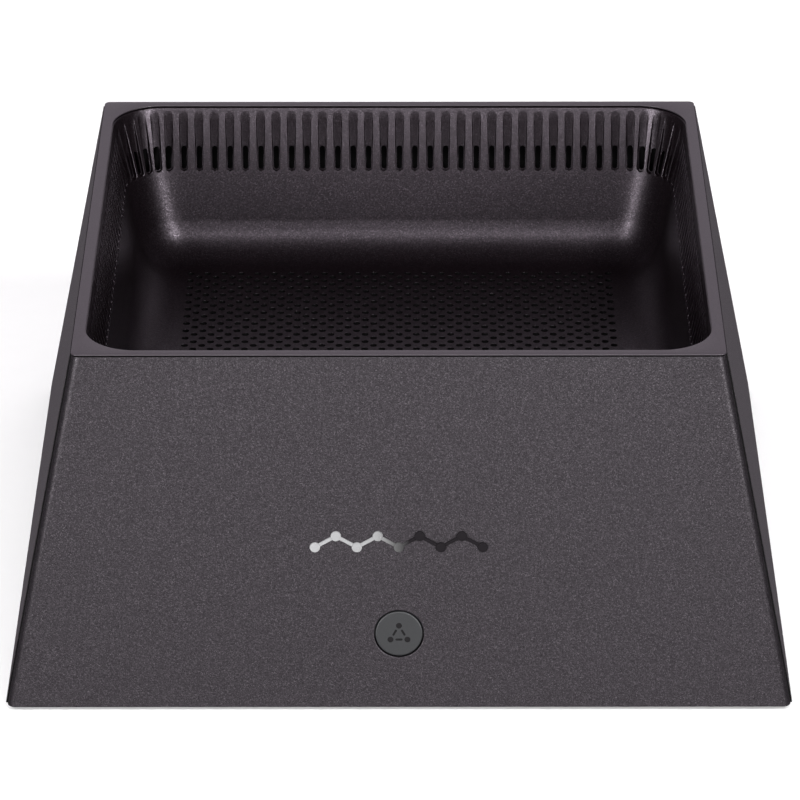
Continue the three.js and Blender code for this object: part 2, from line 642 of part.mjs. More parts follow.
// A flat inlay: small discs linked in a zigzag, like the stations of a network.
function frontBadge() {
  const stations = 9;
  const disc = 1.25;
  const link = 0.45;
  const spanX = BADGE.width - 2 * disc;
  const spanY = BADGE.tall - 2 * disc;
  const places = Array.from({ length: stations }, (_, i) => [
    -spanX / 2 + (i * spanX) / (stations - 1),
    ((i % 2) - 0.5) * spanY,
  ]);
  const pieces = places.map(([x, y]) => rod(disc, 0, BADGE.thickness, 10).translate(x, y, 0));
  for (let i = 1; i < stations; i++) {
    const [x0, y0] = places[i - 1];
    const [x1, y1] = places[i];
    const bar = box([0, -link, 0], [Math.hypot(x1 - x0, y1 - y0), link, BADGE.thickness]);
    pieces.push(bar.rotateZ(Math.atan2(y1 - y0, x1 - x0)).translate(x0, y0, 0));
  }
  const up = BADGE.height / Math.cos(LEAN_FRONT);
  addPiece(frontFace, "front_badge", toGeometry(joined(pieces)), CHROME, 0, up, TOUCH / 2);
}

// ---- Jacks ----
function networkJacks() {
  const { width, depth, height, xs } = NETWORK_JACK;
  const body = box([-width / 2, JACK_FACE - depth, 0], [width / 2, JACK_FACE, height]);
  const socketTop = SOCKET.low + SOCKET.height;
  const back = JACK_FACE - SOCKET.depth;
  const front = JACK_FACE + CUT_PAST;
  const geometry = cut(body, [
    box([-SOCKET.width / 2, back, SOCKET.low], [SOCKET.width / 2, front, socketTop]),
    box(
      [-SOCKET.latchWidth / 2, back, SOCKET.low - SOCKET.latchTall],
      [SOCKET.latchWidth / 2, front, SOCKET.low + TOUCH],
    ),
  ]);
  xs.forEach((x, i) =>
    addPiece(node, "network_jack_" + (i + 1), geometry, STEEL, x, 0, BOARD_TOP + TOUCH),
  );
}

function powerJack() {
  const { x, width, depth, height, hole, holeDeep, axis } = POWER_JACK;
  const { radius, recess, root } = POWER_PIN;
  const body = box([-width / 2, JACK_FACE - depth, 0], [width / 2, JACK_FACE, height]);
  const along = (geometry) => geometry.rotateX(-Math.PI / 2).translate(0, 0, axis);
  const bore = along(rod(hole, JACK_FACE - holeDeep, JACK_FACE + CUT_PAST));
  const contact = along(rod(radius, JACK_FACE - holeDeep - root, JACK_FACE - recess, 12));
  const geometry = toGeometry(toSolid(body).subtract(toSolid(bore)).add(toSolid(contact)));
  addPiece(node, "power_jack", geometry, BLACK_PLASTIC, x, 0, BOARD_TOP + TOUCH);
}

// ---- Antennas behind the side panels, and their leads to the board ----
function antenna(face, faceName, end, endName) {
  const x = end * ANTENNA.along;
  const back = -PANEL - SEAM;
  const board = box(
    [x - ANTENNA.width / 2, ANTENNA.low, back - ANTENNA.thickness],
    [x + ANTENNA.width / 2, ANTENNA.low + ANTENNA.tall, back],
  );
  const name = faceName + "_" + endName;
  addPiece(face, "antenna_" + name, board, SOLDER_MASK);

  const clear = back - ANTENNA.thickness - SEAM - LEAD.radius;
  const inWorld = (y, z) => face.localToWorld(new THREE.Vector3(x, y, z));
  const start = inWorld(ANTENNA.low + LEAD_ROUTE.up, clear);
  const side = Math.sign(start.x);
  const landing = new THREE.Vector3(
    side * (BOARD_HALF_WIDTH - LEAD_ROUTE.landing),
    start.y * LEAD_ROUTE.share,
    BOARD_TOP + SEAM + LEAD.radius,
  );
  const beforeLanding = landing.clone().setX(side * (BOARD_HALF_WIDTH - LEAD_ROUTE.approach));
  const droop = inWorld(ANTENNA.low - LEAD_ROUTE.droop, clear - LEAD_ROUTE.off);
  const route = new THREE.CatmullRomCurve3([
    start, inWorld(ANTENNA.low, clear), droop, beforeLanding, landing,
  ]);
  const section = new THREE.Shape();
  section.absarc(0, 0, LEAD.radius, 0, Math.PI * 2);
  const tube = new THREE.ExtrudeGeometry(section, {
    steps: LEAD.steps,
    curveSegments: LEAD.sides / 2, // a full circle takes twice as many
    extrudePath: route,
  });
  addPiece(node, "antenna_lead_" + name, tube, LEAD_JACKET);
}

frontPanel();
rearPanel();
sidePanel("left_panel", leftFace);
sidePanel("right_panel", rightFace);
topFrame();
basinTray();
basePlate();
feet();
baseScrews();
ratingLabel();
mainBoard();
boardScrews();
shieldAndPad();
heatsink();
meshButton();
buttonBracket();
buttonSwitch();
resetButton();
frontBadge();
networkJacks();
powerJack();
antenna(leftFace, "left", 1, "front");
antenna(leftFace, "left", -1, "rear");
antenna(rightFace, "right", -1, "front");
antenna(rightFace, "right", 1, "rear");

export default node;
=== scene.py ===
"""Looks of the mesh wifi node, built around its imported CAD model."""
import math

import bmesh
import bpy
from mathutils import Matrix, Vector
from mathutils.geometry import delaunay_2d_cdt


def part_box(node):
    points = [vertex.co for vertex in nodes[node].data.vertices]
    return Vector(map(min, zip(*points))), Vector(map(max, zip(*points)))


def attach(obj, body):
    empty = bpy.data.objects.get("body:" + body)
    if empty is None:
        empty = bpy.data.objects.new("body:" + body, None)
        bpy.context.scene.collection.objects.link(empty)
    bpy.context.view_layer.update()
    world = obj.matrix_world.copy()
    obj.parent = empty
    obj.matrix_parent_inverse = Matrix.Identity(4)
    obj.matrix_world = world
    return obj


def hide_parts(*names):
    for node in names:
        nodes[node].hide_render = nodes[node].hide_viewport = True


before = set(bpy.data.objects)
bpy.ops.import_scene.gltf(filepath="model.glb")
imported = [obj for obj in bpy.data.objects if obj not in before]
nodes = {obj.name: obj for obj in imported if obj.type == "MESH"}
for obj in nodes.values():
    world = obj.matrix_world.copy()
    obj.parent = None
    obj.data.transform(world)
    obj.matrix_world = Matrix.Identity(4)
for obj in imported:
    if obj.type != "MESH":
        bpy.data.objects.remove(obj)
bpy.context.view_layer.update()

MM = 0.001

# ---- Sizes in millimetres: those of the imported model's boxes, and those inside them ----


def box_mm(name):
    low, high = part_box(name)
    return low / MM, high / MM


def centre_of(name):
    low, high = box_mm(name)
    return (low + high) / 2


front_low, front_high = box_mm("front_panel")
frame_low, frame_high = box_mm("top_frame")

BOTTOM, PANEL_TOP, TOP = front_low.z, front_high.z, frame_high.z
BASE_X, BASE_Y = front_high.x, -front_low.y
TOP_HALF = 77.715  # half the width over the panels, at their top
PANEL = 2.0  # thickness of a panel
LIP = 0.6  # thickness of its lip round the frame
REBATE = 2.7  # height of that lip, up the slope
SEAM = 0.3  # gap between pieces
LEAN_FRONT = math.atan((BASE_Y - TOP_HALF) / (PANEL_TOP - BOTTOM))
LEAN_SIDE = math.atan((BASE_X - TOP_HALF) / (PANEL_TOP - BOTTOM))
SLANT_FRONT = (PANEL_TOP - BOTTOM) / math.cos(LEAN_FRONT)
SLANT_SIDE = (PANEL_TOP - BOTTOM) / math.cos(LEAN_SIDE)

FRAME_HALF = frame_high.xy
FRAME_BODY = 76.8  # half the width of the frame below its flange
FRAME_TALL = TOP - frame_low.z
FRAME_FLANGE = 0.25  # thickness of the flange
OPENING_HALF = 74.7
SKIRT_HALF = 76.35  # half the width inside the frame's skirt

TRAY_TOP = box_mm("basin_tray")[1].z
TRAY_DRAFT = 0.19  # how far the wall leans in for each mm down
TRAY_HALF_AT_TOP = 74.65
TRAY_CORNER = 12.5
TRAY_FILLET = 9.5
TRAY_WALL = 1.6
FLOOR_HEIGHT = 48.5  # of the basin's floor, above the bottom edge
FLOOR_Z = BOTTOM + FLOOR_HEIGHT
FLOOR_THICK = 1.8

BUTTON_HEIGHT, BADGE_HEIGHT = 18.7, 42  # of their middles, above the bottom edge
BUTTON_UP = BUTTON_HEIGHT / math.cos(LEAN_FRONT)
BADGE_UP = BADGE_HEIGHT / math.cos(LEAN_FRONT)
BUTTON_RADIUS = 5.7
BUTTON_HOLE = 5.95


def face_place(turn, half_base, lean):
    """Axes of one slanted face: X along its bottom edge, Y up the slope, Z outwards."""
    cos, sin = math.cos(lean), math.sin(lean)
    axes = Matrix(((1, 0, 0), (0, sin, -cos), (0, cos, sin))).to_4x4()
    around = Matrix.Rotation(turn, 4, "Z")
    return around @ Matrix.Translation((0, -half_base, BOTTOM)) @ axes


FRONT = face_place(0, BASE_Y, LEAN_FRONT)
REAR = face_place(math.pi, BASE_Y, LEAN_FRONT)
LEFT = face_place(-math.pi / 2, BASE_X, LEAN_SIDE)
RIGHT = face_place(math.pi / 2, BASE_X, LEAN_SIDE)

# ---- Materials ----


def new_material(name, color, roughness, metallic=0.0, specular=0.5, tint=(1, 1, 1)):
    """A material, its node tree and its shader."""
    material = bpy.data.materials.new(name)
    material.use_nodes = True
    tree = material.node_tree
    shader = tree.nodes["Principled BSDF"]
    shader.inputs["Base Color"].default_value = (*color, 1)
    shader.inputs["Roughness"].default_value = roughness
    shader.inputs["Metallic"].default_value = metallic
    shader.inputs["Specular IOR Level"].default_value = specular
    shader.inputs["Specular Tint"].default_value = (*tint, 1)
    return material, tree, shader


def own_space(tree):
    """Coordinates in the object's own space."""
    return tree.nodes.new("ShaderNodeTexCoord").outputs["Object"]


def add_noise(tree, size_mm, detail=2.0, roughness=0.5):
    """Noise whose features are about size_mm across."""
    noise = tree.nodes.new("ShaderNodeTexNoise")
    noise.inputs["Scale"].default_value = 1 / (size_mm * MM)
    noise.inputs["Detail"].default_value = detail
    noise.inputs["Roughness"].default_value = roughness
    tree.links.new(own_space(tree), noise.inputs["Vector"])
    return noise.outputs["Fac"]


def ramp(tree, value, stops):
    """Colours spread over a value, from (position, colour) stops."""
    node = tree.nodes.new("ShaderNodeValToRGB")
    elements = node.color_ramp.elements
    while len(elements) < len(stops):
        elements.new(0.5)
    for element, (position, color) in zip(elements, stops):
        element.position = position
        element.color = (*color, 1)
    tree.links.new(value, node.inputs["Fac"])
    return node.outputs["Color"]


def greys(*stops):
    """Stops of a ramp, from (position, level) pairs."""
    return [(at, (level,) * 3) for at, level in stops]


def multiply(tree, a, b):
    """The product of two colours."""
    mix = tree.nodes.new("ShaderNodeMix")
    mix.data_type = "RGBA"
    mix.blend_type = "MULTIPLY"
    mix.inputs["Factor"].default_value = 1.0
    tree.links.new(a, mix.inputs["A"])
    tree.links.new(b, mix.inputs["B"])
    return mix.outputs["Result"]


def map_range(tree, value, from_low, from_high, to_low=0.0, to_high=1.0):
    """A value carried over from one range to another."""
    node = tree.nodes.new("ShaderNodeMapRange")
    node.inputs["From Min"].default_value = from_low
    node.inputs["From Max"].default_value = from_high
    node.inputs["To Min"].default_value = to_low
    node.inputs["To Max"].default_value = to_high
    tree.links.new(value, node.inputs["Value"])
    return node.outputs["Result"]


def scaled(color, factor):
    return tuple(min(1.0, c * factor) for c in color)


NOISE_LOW, NOISE_HIGH = 0.3, 0.7  # the values that nearly all noise lies between
CLOUD_MM = 38.0
ROUGHNESS_SWING = 0.05


def add_flakes(tree, shader, color, flake_mm, dull, usual, bright):
    """Cells with a chance shine, from dull to bright, and a chance shade; gives the new colour."""
    cells = tree.nodes.new("ShaderNodeTexVoronoi")
    cells.inputs["Scale"].default_value = 1 / (flake_mm * MM)
    tree.links.new(own_space(tree), cells.inputs["Vector"])
    chance = tree.nodes.new("ShaderNodeSeparateColor")
    tree.links.new(cells.outputs["Color"], chance.inputs["Color"])
    fair = usual + 0.3 * (bright - usual)
    shines = greys((0.0, dull), (0.75, usual), (0.93, fair), (1.0, bright))
    shine = ramp(tree, chance.outputs["Red"], shines)
    tree.links.new(shine, shader.inputs["Specular IOR Level"])
    shades = greys((0.0, 0.7), (0.85, 1.0), (1.0, 2.5))
    return multiply(tree, color, ramp(tree, chance.outputs["Green"], shades))


def grained(
    name,
    color,
    roughness,
    grain_mm,
    spread,
    bump=0.0,
    depth_mm=0.02,
    metallic=0.0,
    specular=0.5,
    cloud=0.04,
    flakes=None,
    tint=(1, 1, 1),
):
    """A moulded or painted surface: fine grain in colour, roughness and relief, a faint cloudiness,
    and flakes if it has them: their size in mm, and their dull, usual and bright specular level.
    spread is the share by which the grain's colour varies."""
    material, tree, shader = new_material(name, color, roughness, metallic, specular, tint)
    fine = add_noise(tree, grain_mm, 3.0, 0.6)
    stops = [
        (NOISE_LOW, scaled(color, 1 - spread)),
        (0.50, color),
        (NOISE_HIGH, scaled(color, 1 + spread)),
    ]
    fine_color = ramp(tree, fine, stops)
    clouds = greys((NOISE_LOW, 1 - cloud), (NOISE_HIGH, 1.0))
    result = multiply(tree, fine_color, ramp(tree, add_noise(tree, CLOUD_MM), clouds))
    if flakes:
        result = add_flakes(tree, shader, result, *flakes)
    tree.links.new(result, shader.inputs["Base Color"])
    rough = min(1.0, roughness + ROUGHNESS_SWING)
    smooth = max(0.0, roughness - ROUGHNESS_SWING)
    swing = map_range(tree, fine, NOISE_LOW, NOISE_HIGH, rough, smooth)
    tree.links.new(swing, shader.inputs["Roughness"])
    if bump:
        relief = tree.nodes.new("ShaderNodeBump")
        relief.inputs["Strength"].default_value = bump
        relief.inputs["Distance"].default_value = depth_mm * MM
        tree.links.new(fine, relief.inputs["Height"])
        tree.links.new(relief.outputs["Normal"], shader.inputs["Normal"])
    return material


PANEL_COLOR = (0.0075, 0.0063, 0.0075)
FRAME_COLOR = (0.024, 0.0195, 0.024)
TRAY_COLOR = (0.0020, 0.0010, 0.0014)
# Tints of the highlights: less green keeps the dark finishes warm
PANEL_TINT, FRAME_TINT, TRAY_TINT = (1, 0.92, 1), (1, 0.96, 1), (1, 0.87, 1)

# After the name: colour, roughness, size of the grain in mm, and spread of its colour
panel_paint = grained(
    "metallic_charcoal_paint", PANEL_COLOR, 0.46, 0.5, 0.5, bump=0.6, depth_mm=0.1,
    flakes=(0.18, 0.16, 0.37, 0.98), tint=PANEL_TINT,
)
frame_paint = grained(
    "satin_charcoal_paint", FRAME_COLOR, 0.42, 0.30, 0.10, bump=0.05, tint=FRAME_TINT
)
tray_plastic = grained(
    "textured_dark_plastic", TRAY_COLOR, 0.36, 0.5, 0.4, bump=0.5, depth_mm=0.06,
    flakes=(0.25, 0.28, 0.5, 0.95), tint=TRAY_TINT,
)
base_plastic = grained("moulded_black_plastic", (0.012, 0.011, 0.012), 0.6, 0.5, 0.2, bump=0.2)
rubber = grained("matt_rubber", (0.006, 0.006, 0.0065), 0.85, 0.4, 0.3, bump=0.3)
# Bare black plastic for the insides; also painted shade on the panels' ends and under the frame's
# flange, so that the seams there look dark
bare_plastic_and_seam_shade = grained(
    "bare_black_plastic_and_seam_shade", (0.002, 0.0018, 0.002), 0.8, 0.6, 0.3, specular=0.1
)
button_plastic = grained(
    "satin_grey_plastic", (0.009, 0.0095, 0.0105), 0.45, 0.25, 0.12, bump=0.05, specular=0.38
)
engraving = grained(
    "engraved_fill", (0.004, 0.0035, 0.004), 0.6, 0.2, 0.15, bump=0.1, specular=0.1
)
black_plastic = grained("black_insert_plastic", (0.01, 0.01, 0.0105), 0.5, 0.3, 0.2, bump=0.1)
steel = grained("plated_steel", (0.45, 0.45, 0.46), 0.3, 0.25, 0.08, metallic=1.0, bump=0.04)
gold = grained("gold_contacts", (0.75, 0.52, 0.2), 0.25, 0.1, 0.06, metallic=1.0)
aluminium = grained("brushed_aluminium", (0.5, 0.5, 0.51), 0.4, 0.2, 0.1, metallic=1.0, bump=0.1)
board_mask = grained("solder_mask", (0.01, 0.055, 0.03), 0.4, 0.8, 0.2, bump=0.15)
pad_silicone = grained("thermal_silicone", (0.27, 0.3, 0.36), 0.8, 0.4, 0.08, bump=0.1)
label_film = grained("label_film", (0.5, 0.5, 0.49), 0.55, 0.6, 0.04)
led_lens = grained("frosted_lens", (0.75, 0.76, 0.72), 0.3, 0.4, 0.03)
lead_jacket = grained("lead_jacket", (0.01, 0.01, 0.01), 0.45, 0.3, 0.1, bump=0.05)

BADGE_SHADES = [
    (0.0, (0.2, 0.2, 0.204)),
    (0.36, (0.17, 0.17, 0.172)),
    (0.47, (0.06, 0.06, 0.06)),
    (0.56, (0.006, 0.005, 0.006)),
]
BADGE_REACH = 21.35  # half the badge's width


def badge_material():
    """Inlay that goes from silver on its left to black on its right."""
    material, tree, shader = new_material(
        "silver_to_black_inlay", (0.5, 0.5, 0.5), 0.3, 0.2, specular=0.12
    )
    split = tree.nodes.new("ShaderNodeSeparateXYZ")
    tree.links.new(own_space(tree), split.inputs["Vector"])
    along = map_range(tree, split.outputs["X"], -BADGE_REACH * MM, BADGE_REACH * MM)
    tree.links.new(ramp(tree, along, BADGE_SHADES), shader.inputs["Base Color"])
    return material


badge_inlay = badge_material()

# ---- Mesh building ----


def add_object(name, data):
    thing = bpy.data.objects.new(name, data)
    bpy.context.scene.collection.objects.link(thing)
    return thing


WELD = 0.002  # points closer than this are one
SHARP = 35  # degrees between two faces, over which their edge stays sharp


class Shell:
    """Vertices and faces of a piece, as they are built up."""

    def __init__(self):
        self.vertices, self.faces, self.looks, self.smooth = [], [], [], []

    def ring(self, points):
        first = len(self.vertices)
        self.vertices += [tuple(p) for p in points]
        return list(range(first, len(self.vertices)))

    def face(self, indices, look=0, smooth=True):
        self.faces.append(indices)
        self.looks.append(look)
        self.smooth.append(smooth)

    def bridge(self, a, b, look=0, smooth=True):
        n = len(a)
        for i in range(n):
            j = (i + 1) % n
            self.face([a[i], a[j], b[j], b[i]], look, smooth)

    def loft(self, rings, look=0, closed=False):
        """Faces between each ring and the next."""
        pairs = list(zip(rings, rings[1:]))
        if closed:
            pairs.append((rings[-1], rings[0]))
        for a, b in pairs:
            self.bridge(a, b, look)

    def cap(self, ring, look=0):
        self.face(list(ring), look, False)

    def fill(self, outline, holes=(), look=0, in_hole=None):
        """Fills between a ring and the rings inside it, all level in the piece's own axes. in_hole
        says if a point is in a hole, where going through the holes one by one would be slow."""
        loops = [outline, *holes]
        flat = [i for loop in loops for i in loop]
        points = [Vector(self.vertices[i][:2]) for i in flat]
        edges, first = [], 0
        for loop in loops:
            n = len(loop)
            edges += [(first + i, first + (i + 1) % n) for i in range(n)]
            first += n
        inside_only, near = 1, 1e-6
        _, _, triangles, origins, _, _ = delaunay_2d_cdt(points, edges, [], inside_only, near)
        where = [flat[o[0]] for o in origins]
        outlines = [[Vector(self.vertices[i][:2]) for i in hole] for hole in holes]
        if in_hole is None:
            in_hole = lambda p: any(inside(p, o) for o in outlines)
        for triangle in triangles:
            corners = [where[i] for i in triangle]
            middle = sum((Vector(self.vertices[i][:2]) for i in corners), Vector((0, 0))) / 3
            if not in_hole(middle):
                self.face(corners, look, False)


def inside(p, outline):
    """Whether a point is inside an outline: a line from it crosses an odd number of edges."""
    odd = False
    for a, b in zip(outline, outline[1:] + outline[:1]):
        if (a.y > p.y) != (b.y > p.y) and p.x < (b.x - a.x) * (p.y - a.y) / (b.y - a.y) + a.x:
            odd = not odd
    return odd


def make_piece(name, shell, materials, replaces, body="housing", place=None, sharp=SHARP):
    """A Blender object from a shell, riding on its body; place moves it from its own axes."""
    mesh = bpy.data.meshes.new(name)
    place = place or Matrix.Identity(4)
    mesh.from_pydata([(place @ Vector(v)) * MM for v in shell.vertices], [], shell.faces)
    for material in materials:
        mesh.materials.append(material)
    mesh.polygons.foreach_set("material_index", shell.looks)
    mesh.polygons.foreach_set("use_smooth", shell.smooth)
    work = bmesh.new()
    work.from_mesh(mesh)
    bmesh.ops.remove_doubles(work, verts=work.verts, dist=WELD * MM)
    bmesh.ops.recalc_face_normals(work, faces=work.faces)
    for edge in work.edges:
        faces = edge.link_faces
        if len(faces) == 2 and faces[0].normal.angle(faces[1].normal, 0) > math.radians(sharp):
            edge.smooth = False
    work.to_mesh(mesh)
    work.free()
    piece = add_object(name, mesh)
    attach(piece, body)
    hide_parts(*replaces)


def rounding(radius, steps):
    """Pairs round a quarter circle, from (0, radius) to (radius, 0)."""
    turns = [i * math.pi / 2 / steps for i in range(steps + 1)]
    return [(radius * (1 - math.cos(t)), radius * (1 - math.sin(t))) for t in turns]


def circle(radius, z, steps, x=0.0, y=0.0):
    turns = [2 * math.pi * i / steps for i in range(steps)]
    return [(x + radius * math.cos(t), y + radius * math.sin(t), z) for t in turns]


def square_ring(half, radius, z, steps=16):
    """A rounded square, or rectangle from a pair of halves, from its lower right corner on."""
    half_x, half_y = half if hasattr(half, "__len__") else (half, half)
    points = []
    for turn, (x, y) in enumerate(((1, -1), (1, 1), (-1, 1), (-1, -1))):
        for i in range(steps + 1):
            angle = (turn - 1) * math.pi / 2 + i * math.pi / 2 / steps
            across = x * (half_x - radius) + radius * math.cos(angle)
            points.append((across, y * (half_y - radius) + radius * math.sin(angle), z))
    return points


def offset_outline(corners, insets, heights, radii, steps=6):
    """A convex outline with each edge moved in by its own inset and lowered to its own height,
    and each corner rounded."""
    count = len(corners)
    lines = []
    for k in range(count):
        a, b = Vector(corners[k]), Vector(corners[(k + 1) % count])
        along = (b - a).normalized()
        inward = Vector((-along.y, along.x))
        lines.append((a + inward * insets[k], along, inward))
    points = []
    for k in range(count):
        (p, u, inward), (q, v, _) = lines[k - 1], lines[k]
        cross = u.x * v.y - u.y * v.x
        corner = p + u * (((q - p).x * v.y - (q - p).y * v.x) / cross)
        turn = math.atan2(cross, u.dot(v))
        start = corner - u * (radii[k] * math.tan(turn / 2))
        centre = start + inward * radii[k]
        for i in range(steps + 1):
            share = i / steps
            c, s = math.cos(turn * share), math.sin(turn * share)
            spoke = Vector((inward.x * c - inward.y * s, inward.x * s + inward.y * c))
            at = centre - spoke * radii[k]
            points.append((at.x, at.y, heights[k - 1] + (heights[k] - heights[k - 1]) * share))
    return points


# ---- Panels ----


def round_port(x, y, radius):
    """A round cut-out: gives its ring, grown and at a height."""
    return lambda grow, z: circle(radius + grow, z, 72, x, y)


def square_port(x0, x1, y0, y1, radius=0.7):
    """A cut-out with rounded corners: gives its ring, grown and at a height."""

    def ring(grow, z):
        corners = [(x0 - grow, y0 - grow), (x1 + grow, y0 - grow), (x1 + grow, y1 + grow)]
        corners.append((x0 - grow, y1 + grow))
        return offset_outline(corners, [0] * 4, [z] * 4, [radius + grow] * 4, 8)

    return ring


def panel(name, place, half_bottom, half_top, slant, lean, side_edge, ports=()):
    """A slanted panel, built as its plan profile carried up the slope: rounded at its sides, top
    and bottom, its bottom trimmed level, with a thin lip round the frame."""
    shell = Shell()
    level = math.tan(lean)
    shelf = slant - REBATE
    top_edge, bottom_edge, port_edge, least = 0.12, 0.35, 0.25, 0.02  # roundings

    def row(inset, y, sloped=False):
        """One open line of points round the profile, from the back left to the back right."""
        half = half_bottom + (half_top - half_bottom) * y / slant
        radius = max(side_edge - inset, least)
        left = [(inset, -PANEL)]
        left += [(inset + in_by, -inset - down) for in_by, down in rounding(radius, 8)]
        points = [(d - half, y + (-z * level if sloped else 0), z) for d, z in left]
        points += [(-x, up, z) for x, up, z in reversed(points)]
        return shell.ring(points)

    rows = []
    for up, inset in rounding(bottom_edge, 4):
        rows.append(row(inset, up, True))
    low_row = len(rows) - 1
    rows.append(row(0, shelf))
    shelf_row = len(rows) - 1
    for inset, down in rounding(top_edge, 4):
        rows.append(row(inset, slant - down))
    lip_row = len(rows) - 1
    rows.append(row(LIP, slant))
    rows.append(row(LIP, shelf))
    middle = len(rows[0]) // 2 - 1
    for k, (a, b) in enumerate(zip(rows, rows[1:])):
        for i in range(len(a) - 1):
            if i == middle and k == low_row:
                continue  # the flat of the face, filled round its ports below
            # No paint behind the lip, where the plastic is bare; the ends that face the next panel
            # are bare black plastic too, as painted shade that keeps the seams between panels dark
            bare_or_painted_seam_shade = k >= lip_row or i in (0, len(a) - 2)
            shell.face([a[i], a[i + 1], b[i + 1], b[i]], int(bare_or_painted_seam_shade), i != middle)
    shell.cap(rows[0])
    shell.cap(rows[-1], 1)
    above = rows[shelf_row:]
    shell.cap([r[0] for r in above])
    shell.cap([r[-1] for r in above])
    front_holes, back_holes = [], []
    for port in ports:
        hole = [shell.ring(port(grow, -down)) for down, grow in rounding(port_edge, 4)]
        hole.append(shell.ring(port(0, -PANEL)))
        shell.loft(hole[:-1])
        shell.loft(hole[-2:], 1)
        front_holes.append(hole[0])
        back_holes.append(hole[-1])
    below = rows[: shelf_row + 1]
    low, high = rows[low_row], rows[shelf_row]
    shell.fill([low[middle], low[middle + 1], high[middle + 1], high[middle]], front_holes)
    back = [r[-1] for r in below] + [rows[-1][-1], rows[-1][0]] + [r[0] for r in reversed(below)]
    shell.fill(back, back_holes, 1)
    looks = [panel_paint, bare_plastic_and_seam_shade]
    make_piece(name + "_shell", shell, looks, replaces=[name], place=place)


JACK_GAP, JACK_SILL = 0.5, 0.25  # round a jack at its sides and top, and below it
RESET_HOLE = 1.8
PLATE_EDGE, SIDE_EDGE = 1.9, 0.12  # roundings of the upright edges
SET_IN = 0.45  # how far the front and rear end short of the side panels' faces


def port_span(node):
    """Cut-out of one jack, in the rear face's axes."""
    low, high = box_mm(node)
    up_low = (low.z - JACK_SILL - BOTTOM) / math.cos(LEAN_FRONT)
    up_high = (high.z + JACK_GAP + PANEL * math.sin(LEAN_FRONT) - BOTTOM) / math.cos(LEAN_FRONT)
    return square_port(-high.x - JACK_GAP, -low.x + JACK_GAP, up_low, up_high)


reset_low, reset_high = box_mm("reset_button")
reset_x, reset_z = (reset_low.x + reset_high.x) / 2, (reset_low.z + reset_high.z) / 2
reset_up = (reset_z + PANEL * math.sin(LEAN_FRONT) / 2 - BOTTOM) / math.cos(LEAN_FRONT)
panel(
    "front_panel", FRONT, BASE_X - SET_IN, TOP_HALF - SET_IN, SLANT_FRONT, LEAN_FRONT, PLATE_EDGE,
    [round_port(0, BUTTON_UP, BUTTON_HOLE)],
)
panel(
    "rear_panel", REAR, BASE_X - SET_IN, TOP_HALF - SET_IN, SLANT_FRONT, LEAN_FRONT, PLATE_EDGE,
    [port_span("network_jack_%d" % i) for i in (1, 2, 3)]
    + [port_span("power_jack"), round_port(-reset_x, reset_up, RESET_HOLE)],
)
SIDE_INSET = PANEL / math.cos(LEAN_FRONT) + SEAM
for name, place in (("left_panel", LEFT), ("right_panel", RIGHT)):
    half_bottom, half_top = BASE_Y - SIDE_INSET, TOP_HALF - SIDE_INSET
    panel(name, place, half_bottom, half_top, SLANT_SIDE, LEAN_SIDE, SIDE_EDGE)

# ---- Top frame ----


def top_frame():
    shell = Shell()
    corner, edge, bend = 1.5, 0.12, 5
    body_z = TOP - FRAME_FLANGE
    rings = [
        shell.ring(square_ring(FRAME_BODY, corner, TOP - FRAME_TALL)),
        shell.ring(square_ring(FRAME_BODY, corner, body_z)),
        shell.ring(square_ring(FRAME_HALF, corner, body_z)),
    ]
    for inset, down in rounding(edge, bend):
        half = [side - inset for side in FRAME_HALF]
        rings.append(shell.ring(square_ring(half, corner - inset, TOP - down)))
    for down, out in rounding(edge, bend):
        rings.append(shell.ring(square_ring(OPENING_HALF + out, TRAY_CORNER + out, TOP - down)))
    rings.append(shell.ring(square_ring(OPENING_HALF, TRAY_CORNER, body_z)))
    skirt = TRAY_CORNER + TRAY_WALL
    rings.append(shell.ring(square_ring(SKIRT_HALF, skirt, body_z)))
    rings.append(shell.ring(square_ring(SKIRT_HALF, skirt, TOP - FRAME_TALL)))
    # The wall below the flange and the flange's underside are bare black plastic; this is also
    # painted shade that keeps the gap round the frame dark
    shell.loft(rings[:3], 1)
    shell.loft(rings[2:-2])
    shell.loft([*rings[-3:], rings[0]], 1)
    looks = [frame_paint, bare_plastic_and_seam_shade]
    make_piece("top_frame_ring", shell, looks, replaces=["top_frame"])


top_frame()

# ---- Basin wall, with its grooves and slots ----

# The wall is a ring of tiles, one to a slot. A place round it is a slot coordinate: 0 is the
# middle of the front, and each slot is 1 further on. Heights here are above the bottom edge.
SLOT_PITCH = 4.056
PER_QUARTER = 36  # slots in a quarter of the ring
KEPT = 15  # slots either side of the middle of a side that keep the pitch
GROOVE = {"high": 86.5, "low": 70.6, "half_high": 1.12, "half_low": 0.94}
SLOT = {"high": 76.95, "low": 70.85, "half": 0.68}
SHALLOW, DEEP = 0.1, 1.0  # depth of a groove's floor at its top and at its slot
TILE_LOW, TILE_HIGH = 69.4 + BOTTOM, 87.0 + BOTTOM
ARC = 8  # steps of a groove's round end
SIDE = 4  # steps of its straight side
COLUMNS = [-0.5, -0.3, -0.15, 0.0, 0.15, 0.3, 0.5]  # points across a tile's end, ARC - 1 of them


def tray_half(z):
    """Half the width between the basin's walls at a height."""
    return TRAY_HALF_AT_TOP - TRAY_DRAFT * (TOP - z)


def ring_key(c, z):
    """The quarter of the ring, and the place in it, of slot coordinate c at height z: a share of
    the straight side, or an angle round the corner."""
    quarter = math.floor((c + KEPT + 0.5) / PER_QUARTER)
    index = c - quarter * PER_QUARTER
    flat = tray_half(z) - TRAY_CORNER
    arc = TRAY_CORNER * math.pi / 2
    corner_pitch = (2 * flat + arc - 2 * KEPT * SLOT_PITCH) / (PER_QUARTER - 2 * KEPT)
    along = min(abs(index), KEPT) * SLOT_PITCH + max(abs(index) - KEPT, 0) * corner_pitch
    sign = 1 if index >= 0 else -1
    if along <= flat:
        return quarter, sign, along / flat, None
    return quarter, sign, 1.0, (along - flat) / TRAY_CORNER


